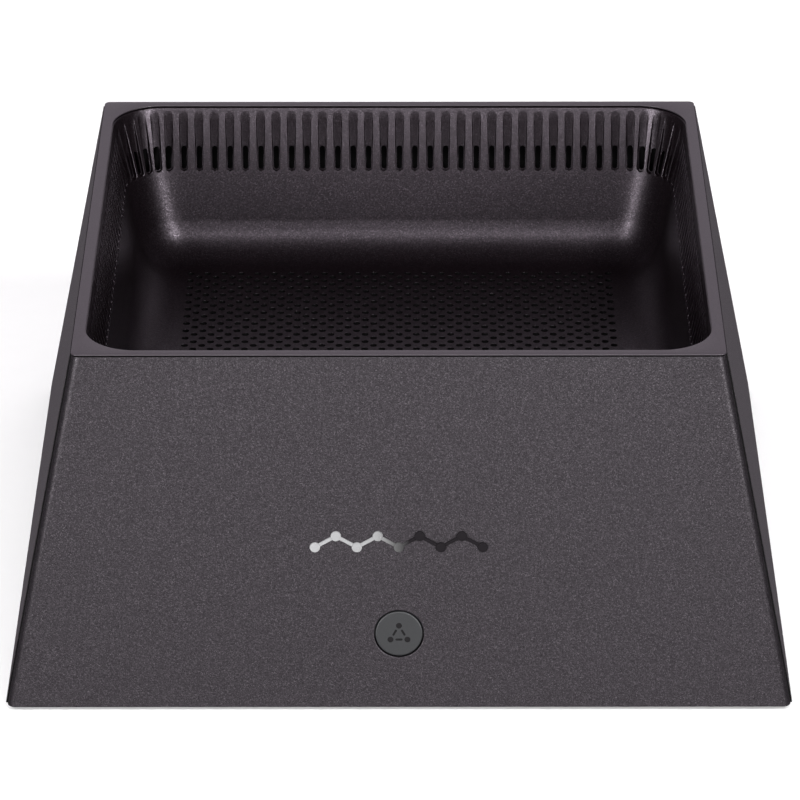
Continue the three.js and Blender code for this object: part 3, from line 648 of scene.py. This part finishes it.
def on_ring(key, half, radius, z, depth=0.0):
    """A point of the rounded square ring, moved out by depth."""
    quarter, sign, share, angle = key
    flat = half - radius
    if angle is None:
        x, y = sign * share * flat, -half - depth
    else:
        reach = radius + depth
        x = sign * (flat + reach * math.sin(angle))
        y = -flat - reach * math.cos(angle)
    turn = quarter * math.pi / 2
    c, s = math.cos(turn), math.sin(turn)
    return (x * c - y * s, x * s + y * c, z)


def wall_point(c, z, depth=0.0):
    return on_ring(ring_key(c, z), tray_half(z), TRAY_CORNER, z, depth)


def local_pitch(c, z):
    """Millimetres along the wall for one step of the slot coordinate, round about c."""
    step = 0.2
    a, b = Vector(wall_point(c - step, z)), Vector(wall_point(c + step, z))
    return (b - a).length / (2 * step)


def stadium(half_high, half_low, high, low):
    """Points round a tapered slot with round ends, from its upper right on, anticlockwise."""
    points = []
    top, bottom = high - half_high, low + half_low
    for i in range(ARC + 1):
        a = math.pi * i / ARC
        points.append((half_high * math.cos(a), top + half_high * math.sin(a)))
    for i in range(1, SIDE):
        share = i / SIDE
        points.append((-half_high + (half_high - half_low) * share, top + (bottom - top) * share))
    for i in range(ARC + 1):
        a = math.pi + math.pi * i / ARC
        points.append((half_low * math.cos(a), bottom + half_low * math.sin(a)))
    for i in range(1, SIDE):
        share = i / SIDE
        points.append((half_low + (half_high - half_low) * share, bottom + (top - bottom) * share))
    return [(x, z + BOTTOM) for x, z in points]


def tile_border(outline):
    """Points of the tile's border that face those of its slot: (slot coordinate, height)."""
    heights = [z for _, z in outline]
    first = ARC + SIDE
    places = [(0.5, heights[0])] + [(c, TILE_HIGH) for c in COLUMNS[::-1]]
    places += [(-0.5, z) for z in heights[ARC : first + 1]]
    places += [(c, TILE_LOW) for c in COLUMNS]
    return places + [(0.5, z) for z in heights[first + ARC :]]


def groove_depth(z):
    """How deep the groove's floor lies: it slopes in down to the slot."""
    share = (GROOVE["high"] + BOTTOM - z) / (GROOVE["high"] - SLOT["high"])
    return SHALLOW + (DEEP - SHALLOW) * min(max(share, 0.0), 1.0)


def basin_wall():
    """The tray's wall and fillet; gives the half width and corner radius of the floor inside."""
    shell = Shell()
    half_high, half_low, high, low = (GROOVE[k] for k in ("half_high", "half_low", "high", "low"))
    half, slot_high, slot_low = (SLOT[k] for k in ("half", "high", "low"))
    edge, edge_depth = 0.1, 0.07  # rounded edge of a groove
    fade = 1.0  # how far down its upper end slopes in
    slot_edge = 0.05
    # Outlines of a groove and its slot from the wall's face outwards, each with its depth
    shoulder = stadium(half_high + edge, half_low + edge, high + edge, low - edge)
    groove = stadium(half_high, half_low, high - fade, low)
    floor = stadium(half_high - 0.16, half_low - 0.06, high - 2.6, low + 0.1)
    rim = stadium(half + slot_edge, half + slot_edge, slot_high + 0.08, slot_low - 0.08)
    slot = stadium(half, half, slot_high, slot_low)
    outlet = stadium(half, half, slot_high + 0.3, slot_low - 0.7)
    loops = [
        (shoulder, lambda z: 0.0),
        (groove, lambda z: edge_depth),
        (floor, groove_depth),
        (rim, groove_depth),
        (slot, lambda z: groove_depth(z) + 0.1),
        (outlet, lambda z: TRAY_WALL),
    ]
    border = tile_border(shoulder)
    back_border = tile_border(outlet)
    for c in range(-KEPT, 4 * PER_QUARTER - KEPT):
        rings = [shell.ring([wall_point(c + o, z) for o, z in border])]
        for outline, depth in loops:
            points = []
            for x, z in outline:
                points.append(wall_point(c + x / local_pitch(c, z), z, depth(z)))
            rings.append(shell.ring(points))
        rings.append(shell.ring([wall_point(c + o, z, TRAY_WALL) for o, z in back_border]))
        shell.bridge(rings[0], rings[1], smooth=False)
        shell.loft(rings[1:])
    coordinates = [c + o for c in range(-KEPT, 4 * PER_QUARTER - KEPT) for o in COLUMNS[:-1]]
    high_keys = [ring_key(c, TILE_HIGH) for c in coordinates]
    low_keys = [ring_key(c, TILE_LOW) for c in coordinates]

    def row(keys, half, radius, z, depth=0.0):
        return shell.ring([on_ring(key, half, radius, z, depth) for key in keys])

    # Over the grooves, round the lip and down the outside
    lip = 0.3
    rows = [row(high_keys, tray_half(TILE_HIGH), TRAY_CORNER, TILE_HIGH)]
    for out, down in rounding(lip, 4):
        z = TRAY_TOP - down
        rows.append(row(high_keys, tray_half(z), TRAY_CORNER, z, out))
    rows.append(row(high_keys, tray_half(TRAY_TOP), TRAY_CORNER, TRAY_TOP, TRAY_WALL))
    rows.append(row(high_keys, tray_half(TILE_HIGH), TRAY_CORNER, TILE_HIGH, TRAY_WALL))
    shell.loft(rows)
    # Below the slots, round the fillet to the floor, and back up the outside
    bend = 12
    floor_half = tray_half(FLOOR_Z)

    def fillet_row(angle, grow, drop):
        """A row round the fillet, 0 at the floor, moved out by grow and down by drop."""
        spread = TRAY_FILLET * math.sin(angle)
        z = FLOOR_Z + TRAY_FILLET * (1 - math.cos(angle))
        half = floor_half - TRAY_FILLET + spread + TRAY_DRAFT * (z - FLOOR_Z)
        radius = TRAY_CORNER - TRAY_FILLET + spread
        shift = grow * math.sin(angle)
        return row(low_keys, half + shift, radius + shift, z - drop * math.cos(angle))

    border_wide = 0.4  # a level border between the fillet and the holed floor
    flat_edge = floor_half - TRAY_FILLET - border_wide
    flat_radius = TRAY_CORNER - TRAY_FILLET - border_wide
    rows = [row(low_keys, tray_half(TILE_LOW), TRAY_CORNER, TILE_LOW)]
    rows += [fillet_row(math.pi / 2 * (1 - i / bend), 0, 0) for i in range(bend + 1)]
    rows.append(row(low_keys, flat_edge, flat_radius, FLOOR_Z))
    rows.append(row(low_keys, flat_edge, flat_radius, FLOOR_Z - FLOOR_THICK))
    rows += [fillet_row(math.pi / 2 * i / 6, TRAY_WALL, FLOOR_THICK) for i in range(7)]
    rows.append(row(low_keys, tray_half(TILE_LOW), TRAY_CORNER, TILE_LOW, TRAY_WALL))
    shell.loft(rows)
    make_piece(
        "basin_wall", shell, [tray_plastic], replaces=["basin_tray"], sharp=24
    )
    return flat_edge, flat_radius


FLOOR_HALF, FLOOR_CORNER = basin_wall()

# ---- Basin floor, with its holes ----

LATTICE = 4.38  # pitch of the holes in a row; the next row lies half a pitch on and across
ROWS = 25  # rows either side of the middle row
HOLE_RADIUS = 0.9
HOLE_CHAMFER = 0.045  # width of its sloping edge
HOLE_SLOPE = 0.05  # depth of that edge
HOLE_STEPS = 12
HOLE_REACH = 0.93  # share of the radius that the middles of all triangles in a hole lie within


def lattice():
    """Middles of the holes."""
    step = LATTICE / 2
    return [
        (m * step, n * step)
        for n in range(-ROWS, ROWS + 1)
        for m in range(-ROWS, ROWS + 1)
        if (m + n) % 2 == 0
    ]


def near_hole(reach):
    """A test for whether a point is within reach of a hole's middle."""
    step = LATTICE / 2

    def test(p):
        m, n = round(p.x / step), round(p.y / step)
        for i in (m - 1, m, m + 1):
            for j in (n - 1, n, n + 1):
                if abs(i) <= ROWS and abs(j) <= ROWS and (i + j) % 2 == 0:
                    if math.hypot(p.x - i * step, p.y - j * step) < reach:
                        return True
        return False

    return test


def basin_floor():
    shell = Shell()
    under = FLOOR_Z - FLOOR_THICK
    outline = shell.ring(square_ring(FLOOR_HALF, FLOOR_CORNER, FLOOR_Z))
    lower = shell.ring(square_ring(FLOOR_HALF, FLOOR_CORNER, under))
    shell.bridge(outline, lower, smooth=False)
    tops, bottoms = [], []
    for x, y in lattice():
        rings = [
            shell.ring(circle(HOLE_RADIUS + HOLE_CHAMFER, FLOOR_Z, HOLE_STEPS, x, y)),
            shell.ring(circle(HOLE_RADIUS, FLOOR_Z - HOLE_SLOPE, HOLE_STEPS, x, y)),
            shell.ring(circle(HOLE_RADIUS, under, HOLE_STEPS, x, y)),
        ]
        shell.loft(rings[:2])
        shell.loft(rings[1:], 1)
        tops.append(rings[0])
        bottoms.append(rings[-1])
    shell.fill(outline, tops, in_hole=near_hole((HOLE_RADIUS + HOLE_CHAMFER) * HOLE_REACH))
    shell.fill(lower, bottoms, in_hole=near_hole(HOLE_RADIUS * HOLE_REACH))
    looks = [tray_plastic, bare_plastic_and_seam_shade]
    make_piece("basin_floor", shell, looks, replaces=["basin_tray"])


basin_floor()

# ---- Push button ----


def bar_outline(x0, y0, x1, y1, half, steps=8):
    """A straight bar with round ends."""
    turn = math.atan2(y1 - y0, x1 - x0)
    points = []
    for x, y, start in ((x1, y1, turn - math.pi / 2), (x0, y0, turn + math.pi / 2)):
        for i in range(steps + 1):
            a = start + math.pi * i / steps
            points.append((x + half * math.cos(a), y + half * math.sin(a)))
    return points


def button_icon():
    """Three stations joined by bars: outlines of the engraved marks."""
    reach, dot, gap, half, lowered = 2.35, 0.72, 0.45, 0.27, 0.3
    turns = [math.pi / 2 + k * 2 * math.pi / 3 for k in range(3)]
    stations = [(reach * math.cos(t), reach * math.sin(t) - lowered) for t in turns]
    outlines = [[(x, y) for x, y, _ in circle(dot, 0, 24, *s)] for s in stations]
    for k in range(3):
        a, b = Vector(stations[k]), Vector(stations[(k + 1) % 3])
        way = (b - a).normalized() * (dot + gap + half)
        outlines.append(bar_outline(*(a + way), *(b - way), half))
    return outlines


def mesh_button():
    shell = Shell()
    steps, face, edge, engraved = 96, -0.1, 0.35, 0.12
    stem, stem_end, flange, thick, under = 2.0, -7.0, 7.3, 0.8, -PANEL - SEAM
    profile = [(stem, stem_end), (stem, under - thick), (flange, under - thick), (flange, under)]
    profile.append((BUTTON_RADIUS, under))
    profile += [(BUTTON_RADIUS - inset, face - down) for inset, down in rounding(edge, 6)]
    rings = [shell.ring(circle(r, z, steps)) for r, z in profile]
    shell.loft(rings)
    shell.cap(rings[0])
    marks = []
    for outline in button_icon():
        upper = shell.ring([(x, y, face) for x, y in outline])
        lower = shell.ring([(x, y, face - engraved) for x, y in outline])
        shell.bridge(upper, lower, 1, False)
        shell.cap(lower, 1)
        marks.append(upper)
    shell.fill(rings[-1], marks)
    place = FRONT @ Matrix.Translation((0, BUTTON_UP, 0))
    make_piece(
        "mesh_button_cap", shell, [button_plastic, engraving],
        body="mesh_button", replaces=["mesh_button"], place=place,
    )


mesh_button()

# ---- Badge: stations of a network, linked in a zigzag ----


def front_badge():
    shell = Shell()
    count, disc, link, badge_tall = 9, 1.25, 0.45, 5.3
    under, disc_top, link_top, bevel = 0.05, 0.45, 0.33, 0.1
    low, high = box_mm("front_badge")
    span_x = high.x - low.x - 2 * disc
    span_y = badge_tall - 2 * disc
    step = span_x / (count - 1)
    places = [(-span_x / 2 + i * step, (i % 2 - 0.5) * span_y) for i in range(count)]

    def raised(ring, top):
        rings = [
            shell.ring([(x, y, under) for x, y in ring(0)]),
            shell.ring([(x, y, top - bevel) for x, y in ring(0)]),
            shell.ring([(x, y, top) for x, y in ring(bevel)]),
        ]
        shell.loft(rings)
        shell.cap(rings[0])
        shell.cap(rings[-1])

    for x, y in places:
        raised(lambda d: [(a, b) for a, b, _ in circle(disc - d, 0, 48, x, y)], disc_top)
    for (x0, y0), (x1, y1) in zip(places, places[1:]):
        raised(lambda d: bar_outline(x0, y0, x1, y1, link - d), link_top)
    place = FRONT @ Matrix.Translation((0, BADGE_UP, 0))
    looks = [badge_inlay]
    make_piece("station_badge", shell, looks, replaces=["front_badge"], place=place)


front_badge()

# ---- Feet, screws and tray posts ----

CORNERS = ("front_left", "front_right", "rear_left", "rear_right")


def stood_at(name, z):
    """The place of a turned piece on the middle of its node, from height z up."""
    low, high = box_mm(name)
    return Matrix.Translation(((low.x + high.x) / 2, (low.y + high.y) / 2, z))


def arc(cx, cz, radius, start, end, steps=6):
    """Profile points along an arc, its angles in degrees."""
    turns = [math.radians(start + (end - start) * i / steps) for i in range(steps + 1)]
    return [(cx + radius * math.cos(t), cz + radius * math.sin(t)) for t in turns]


def add_turned(shell, profile, steps, look=0, place=None):
    """A solid turned about Z, from (radius, height) points; both its ends are capped."""
    place = place or Matrix.Identity(4)
    circles = [circle(radius, z, steps) for radius, z in profile]
    rings = [shell.ring([place @ Vector(p) for p in points]) for points in circles]
    shell.loft(rings, look)
    shell.cap(rings[0], look)
    shell.cap(rings[-1], look)


def feet():
    for corner in CORNERS:
        name = "foot_" + corner
        low, high = box_mm(name)
        radius, edge = (high.x - low.x) / 2, 0.4
        profile = [(3.4, 0.0), (3.6, 0.3), (4.4, 0.3), (4.6, 0.0)]  # a groove round its underside
        profile += arc(radius - edge, edge, edge, -90, 0)
        profile.append((radius, high.z))
        shell = Shell()
        add_turned(shell, profile, 64)
        place = stood_at(name, 0)
        make_piece(name + "_pad", shell, [rubber], replaces=[name], place=place)


def cross_outline(arm, blade):
    """A cross whose arms reach arm from its middle and are twice blade wide."""
    quarter = [(blade, -arm), (blade, -blade), (arm, -blade)]
    points = []
    for k in range(4):
        c, s = round(math.cos(k * math.pi / 2)), round(math.sin(k * math.pi / 2))
        points += [(x * c - y * s, x * s + y * c) for x, y in quarter]
    return points


def base_screws():
    head, tall, shank, edge = 2.8, 1.6, 1.2, 0.6
    thread, thread_deep, runout, point = 0.6, 0.25, 1.6, 0.15
    for corner in CORNERS:
        name = "base_screw_" + corner
        low, high = box_mm(name)
        length = high.z - low.z
        profile = arc(head - edge, edge, edge, -90, 0) + [(head, tall), (shank, tall)]
        z = tall + thread
        while z < length - runout:
            profile += [(shank - thread_deep, z), (shank, z + thread / 2)]
            z += thread
        profile.append((point, length))
        shell = Shell()
        rings = [shell.ring(circle(radius, z, 48)) for radius, z in profile]
        shell.loft(rings)
        shell.cap(rings[-1])
        upper = shell.ring([(x, y, 0) for x, y in cross_outline(1.55, 0.3)])
        lower = shell.ring([(x, y, 0.9) for x, y in cross_outline(1.0, 0.26)])
        shell.bridge(upper, lower, smooth=False)
        shell.cap(lower)
        shell.fill(rings[0], [upper])
        place = stood_at(name, low.z)
        make_piece(name + "_turned", shell, [steel], replaces=[name], place=place)


def tray_posts():
    """Hollow posts from the base plate up to the underside of the basin's floor."""
    shell = Shell()
    plate_thick, radius, bore, edge = 2.4, 4.0, 1.5, 0.2
    foot, top = box_mm("base_plate")[0].z + plate_thick, FLOOR_Z - FLOOR_THICK
    sizes = [(bore, foot), (radius - edge, foot), (radius, foot + edge), (radius, top), (bore, top)]
    for corner in CORNERS:
        at = centre_of("base_screw_" + corner)
        shell.loft([shell.ring(circle(q, z, 40, at.x, at.y)) for q, z in sizes], closed=True)
    make_piece("basin_posts", shell, [tray_plastic], replaces=["basin_tray"])


feet()
base_screws()
tray_posts()

# ---- Jacks and reset button on the rear ----

# Axes of a rear fitting: X to the left seen from above, Y up, Z out of the rear
REARWARD = Matrix(((-1, 0, 0), (0, 0, 1), (0, 1, 0))).to_4x4()


def rear_place(name):
    """The place of a rear fitting: its origin is low on the middle of its rear face."""
    low, high = box_mm(name)
    return Matrix.Translation(((low.x + high.x) / 2, high.y, low.z)) @ REARWARD


def grown(outline, reach):
    """A right-angled outline, run anticlockwise, with every edge moved out."""
    points = []
    for i, p in enumerate(outline):
        before, after = Vector(outline[i - 1]), Vector(outline[(i + 1) % len(outline)])
        here = Vector(p)
        moved = here
        for along in ((here - before).normalized(), (after - here).normalized()):
            moved = moved + Vector((along.y, -along.x)) * reach
        points.append(tuple(moved))
    return points


def add_box(shell, middle, size, look, tilt=0.0):
    """A box, tilted about X."""
    turn = Matrix.Rotation(tilt, 3, "X")
    x, y, z = (value / 2 for value in size)
    square = [(-x, -y), (x, -y), (x, y), (-x, y)]
    rings = [
        shell.ring([Vector(middle) + turn @ Vector((a, b, c)) for a, b in square])
        for c in (-z, z)
    ]
    shell.bridge(*rings, look, False)
    shell.cap(rings[0], look)
    shell.cap(rings[1], look)


def jack_body(shell, name, wall, face):
    """Outside of a jack and the rim of its front; gives the ring that its face starts from."""
    low, high = box_mm(name)
    half, tall, deep = (high.x - low.x) / 2, high.z - low.z, high.y - low.y
    corners = [(-half, 0), (half, 0), (half, tall), (-half, tall)]
    corner, least = 0.5, 0.1

    def ring(inset, z):
        radius = max(corner - inset, least)
        return shell.ring(offset_outline(corners, [inset] * 4, [z] * 4, [radius] * 4, 4))

    rings = [ring(0, -deep), ring(0, -0.15), ring(0.05, -0.04), ring(0.15, 0), ring(wall, 0)]
    rings.append(ring(wall, face))
    shell.loft(rings)
    shell.cap(rings[0])
    return rings[-1]


def network_jack(name):
    shell = Shell()
    wall, face, deep = 0.35, -0.5, 11.5
    contacts, pitch = 8, 1.02
    rim = jack_body(shell, name, wall, face)
    # A broad socket with two steps for the plug's latch
    socket = [
        (-5.9, 3.4), (-3.1, 3.4), (-3.1, 2.4), (-1.7, 2.4), (-1.7, 1.6), (1.7, 1.6),
        (1.7, 2.4), (3.1, 2.4), (3.1, 3.4), (5.9, 3.4), (5.9, 11.6), (-5.9, 11.6),
    ]
    mouth = [(0.3, face), (0.0, face - 0.4), (0.0, face - deep)]
    rings = [shell.ring([(x, y, z) for x, y in grown(socket, reach)]) for reach, z in mouth]
    shell.fill(rim, [rings[0]], 1)
    for a, b in zip(rings, rings[1:]):
        shell.bridge(a, b, 1, False)
    shell.cap(rings[-1], 1)
    # Each contact is a long sloping wire with a short flat end
    for i in range(contacts):
        x = (i - (contacts - 1) / 2) * pitch
        add_box(shell, (x, 9.3, -5.5), (0.45, 0.3, 8.5), 2, math.radians(24))
        add_box(shell, (x, 11.2, -1.6), (0.45, 0.3, 1.4), 2)
    looks = [steel, black_plastic, gold]
    make_piece(name + "_port", shell, looks, replaces=[name], place=rear_place(name))


def power_jack():
    shell = Shell()
    wall, face, axis = 0.6, -0.3, 6.0
    rim = jack_body(shell, "power_jack", wall, face)
    bore = [(3.5, face), (3.2, -0.6), (3.2, -9.5), (1.6, -9.5), (1.6, -10.0)]
    rings = [shell.ring(circle(radius, z, 64, 0, axis)) for radius, z in bore]
    shell.fill(rim, [rings[0]])
    shell.loft(rings)
    shell.cap(rings[-1])
    centre = Matrix.Translation((0, axis, 0))
    pin = [(1.0, -9.9), (1.0, -1.6)] + arc(0.4, -1.6, 0.6, 0, 80)
    add_turned(shell, pin, 32, 1, centre)
    looks = [black_plastic, steel]
    place = rear_place("power_jack")
    make_piece(
        "power_jack_port", shell, looks, replaces=["power_jack"], place=place
    )


def reset_cap():
    shell = Shell()
    low, high = box_mm("reset_button")
    radius, length, edge = (high.x - low.x) / 2, high.y - low.y, 0.35
    profile = [(radius, -length), (radius, -edge)] + arc(radius - edge, -edge, edge, 0, 90)
    profile += [(0.45, 0), (0.35, -0.12)]  # a dimple in its end
    add_turned(shell, profile, 40, place=Matrix.Translation((0, radius, 0)))
    make_piece(
        "reset_button_cap", shell, [black_plastic],
        body="reset_button", replaces=["reset_button"], place=rear_place("reset_button"),
    )


for i in (1, 2, 3):
    network_jack("network_jack_%d" % i)
power_jack()
reset_cap()

# ---- Finishes of the CAD pieces that stay ----

FINISHES = {
    "base_plate": base_plastic,
    "board_screw_": steel,
    "heatsink_screw_": steel,
    "rating_label": label_film,
    "switch_plunger": button_plastic,
    "button_bracket": black_plastic,
    "button_switch": black_plastic,
    "reset_switch": black_plastic,
    "status_led": led_lens,
    "main_board": board_mask,
    "radio_shield": steel,
    "thermal_pad": pad_silicone,
    "heatsink": aluminium,
    "antenna_lead_": lead_jacket,
    "antenna_": board_mask,
}
for name, node in nodes.items():
    if node.hide_render:
        continue
    finish = next(look for start, look in FINISHES.items() if name.startswith(start))
    node.data.materials.clear()
    node.data.materials.append(finish)

# ---- Floor, light and camera ----


def floor():
    mesh = bpy.data.meshes.new("floor")
    reach = 6.0
    corners = [(-reach, -reach, 0), (reach, -reach, 0), (reach, reach, 0), (-reach, reach, 0)]
    mesh.from_pydata(corners, [], [(0, 1, 2, 3)])
    plane = add_object("floor", mesh)
    material = grained("pale_floor", (0.92, 0.92, 0.92), 0.9, 8.0, 0.005, specular=0.1, cloud=0.0)
    mesh.materials.append(material)
    plane.visible_glossy = False


floor()

AIM = Vector((0, 0, 0.06))
LIGHT_AWAY = 2.0


def softbox(name, azimuth, elevation, width, height, power):
    """A soft light turned to the object's middle. Azimuth 0 is in front, 90 on the right."""
    light = bpy.data.lights.new(name, "AREA")
    light.shape = "RECTANGLE"
    light.size, light.size_y = width, height
    light.energy = power
    lamp = add_object(name, light)
    a, e = math.radians(azimuth), math.radians(elevation)
    way = Vector((math.sin(a) * math.cos(e), -math.cos(a) * math.cos(e), math.sin(e)))
    lamp.location = AIM + way * LIGHT_AWAY
    lamp.rotation_euler = way.to_track_quat("Z", "Y").to_euler()
    return lamp


# Three small softboxes high in front for the basin's fillet, three larger ones low in front for
# the front panel and corners, and a broad one overhead that adds no reflections. After the name:
# azimuth, elevation, width, height and watts.
for light in (
    ("key_left", -36, 40, 0.3, 0.3, 13),
    ("key_right", 34, 40, 0.3, 0.3, 22),
    ("key_centre", 0, 39, 0.3, 0.3, 4.5),
    ("strip_left", -36, 9, 0.25, 0.8, 42),
    ("strip_right", 33, 9, 0.25, 0.8, 40),
    ("front_fill", 0, 9, 0.4, 0.5, 11.5),
):
    softbox(*light)
softbox("overhead", 0, 88, 2.0, 2.0, 24).visible_glossy = False


def studio():
    """Light from all round: bright behind, dimmer in front, dark at the sides and overhead."""
    world = bpy.data.worlds.new("studio")
    bpy.context.scene.world = world
    world.use_nodes = True
    tree = world.node_tree
    background = tree.nodes["Background"]
    place = tree.nodes.new("ShaderNodeTexCoord")
    split = tree.nodes.new("ShaderNodeSeparateXYZ")
    tree.links.new(place.outputs["Generated"], split.inputs["Vector"])
    # From straight down, over the horizon at 0.5, to straight up
    height = map_range(tree, split.outputs["Z"], -1.0, 1.0)
    levels = [
        (0.0, 0.40), (0.46, 0.52), (0.56, 0.90), (0.76, 0.85), (0.82, 0.7), (0.9, 0.35), (1.0, 0.1)
    ]
    green = 0.9
    up = ramp(tree, height, [(at, (level, green * level, level)) for at, level in levels])
    # From the middle out to either side
    side = tree.nodes.new("ShaderNodeMath")
    side.operation = "ABSOLUTE"
    tree.links.new(split.outputs["X"], side.inputs[0])
    levels = greys((0.0, 1.0), (0.35, 0.8), (0.75, 0.12), (1.0, 0.1))
    across = ramp(tree, side.outputs["Value"], levels)
    # From the front to behind
    depth = map_range(tree, split.outputs["Y"], -0.6, 0.6, 0.4, 1.0)
    color = multiply(tree, multiply(tree, up, across), depth)
    tree.links.new(color, background.inputs["Color"])
    background.inputs["Strength"].default_value = 1.0


studio()

# Solved from the photo's edges, in millimetres and degrees; the pitch is downwards
EYE = (2.26, -1157.06, 605.3)
PITCH, YAW, ROLL = 26.058, -0.1028, -0.093
LENS, SENSOR = 228.35, 36


def camera():
    data = bpy.data.cameras.new("camera")
    data.lens = LENS
    data.sensor_width = SENSOR
    data.clip_end = 20
    eye = add_object("camera", data)
    pitch, yaw, roll = (math.radians(a) for a in (PITCH, YAW, ROLL))
    ahead = Vector(
        (math.sin(yaw) * math.cos(pitch), math.cos(yaw) * math.cos(pitch), -math.sin(pitch))
    )
    right = Vector((math.cos(yaw), -math.sin(yaw), 0))
    up = right.cross(ahead)
    right, up = (
        right * math.cos(roll) + up * math.sin(roll),
        up * math.cos(roll) - right * math.sin(roll),
    )
    axes = Matrix((right, up, -ahead)).transposed().to_4x4()
    eye.matrix_world = Matrix.Translation(Vector(EYE) * MM) @ axes
    bpy.context.scene.camera = eye


camera()
bpy.context.scene.view_settings.view_transform = "Standard"
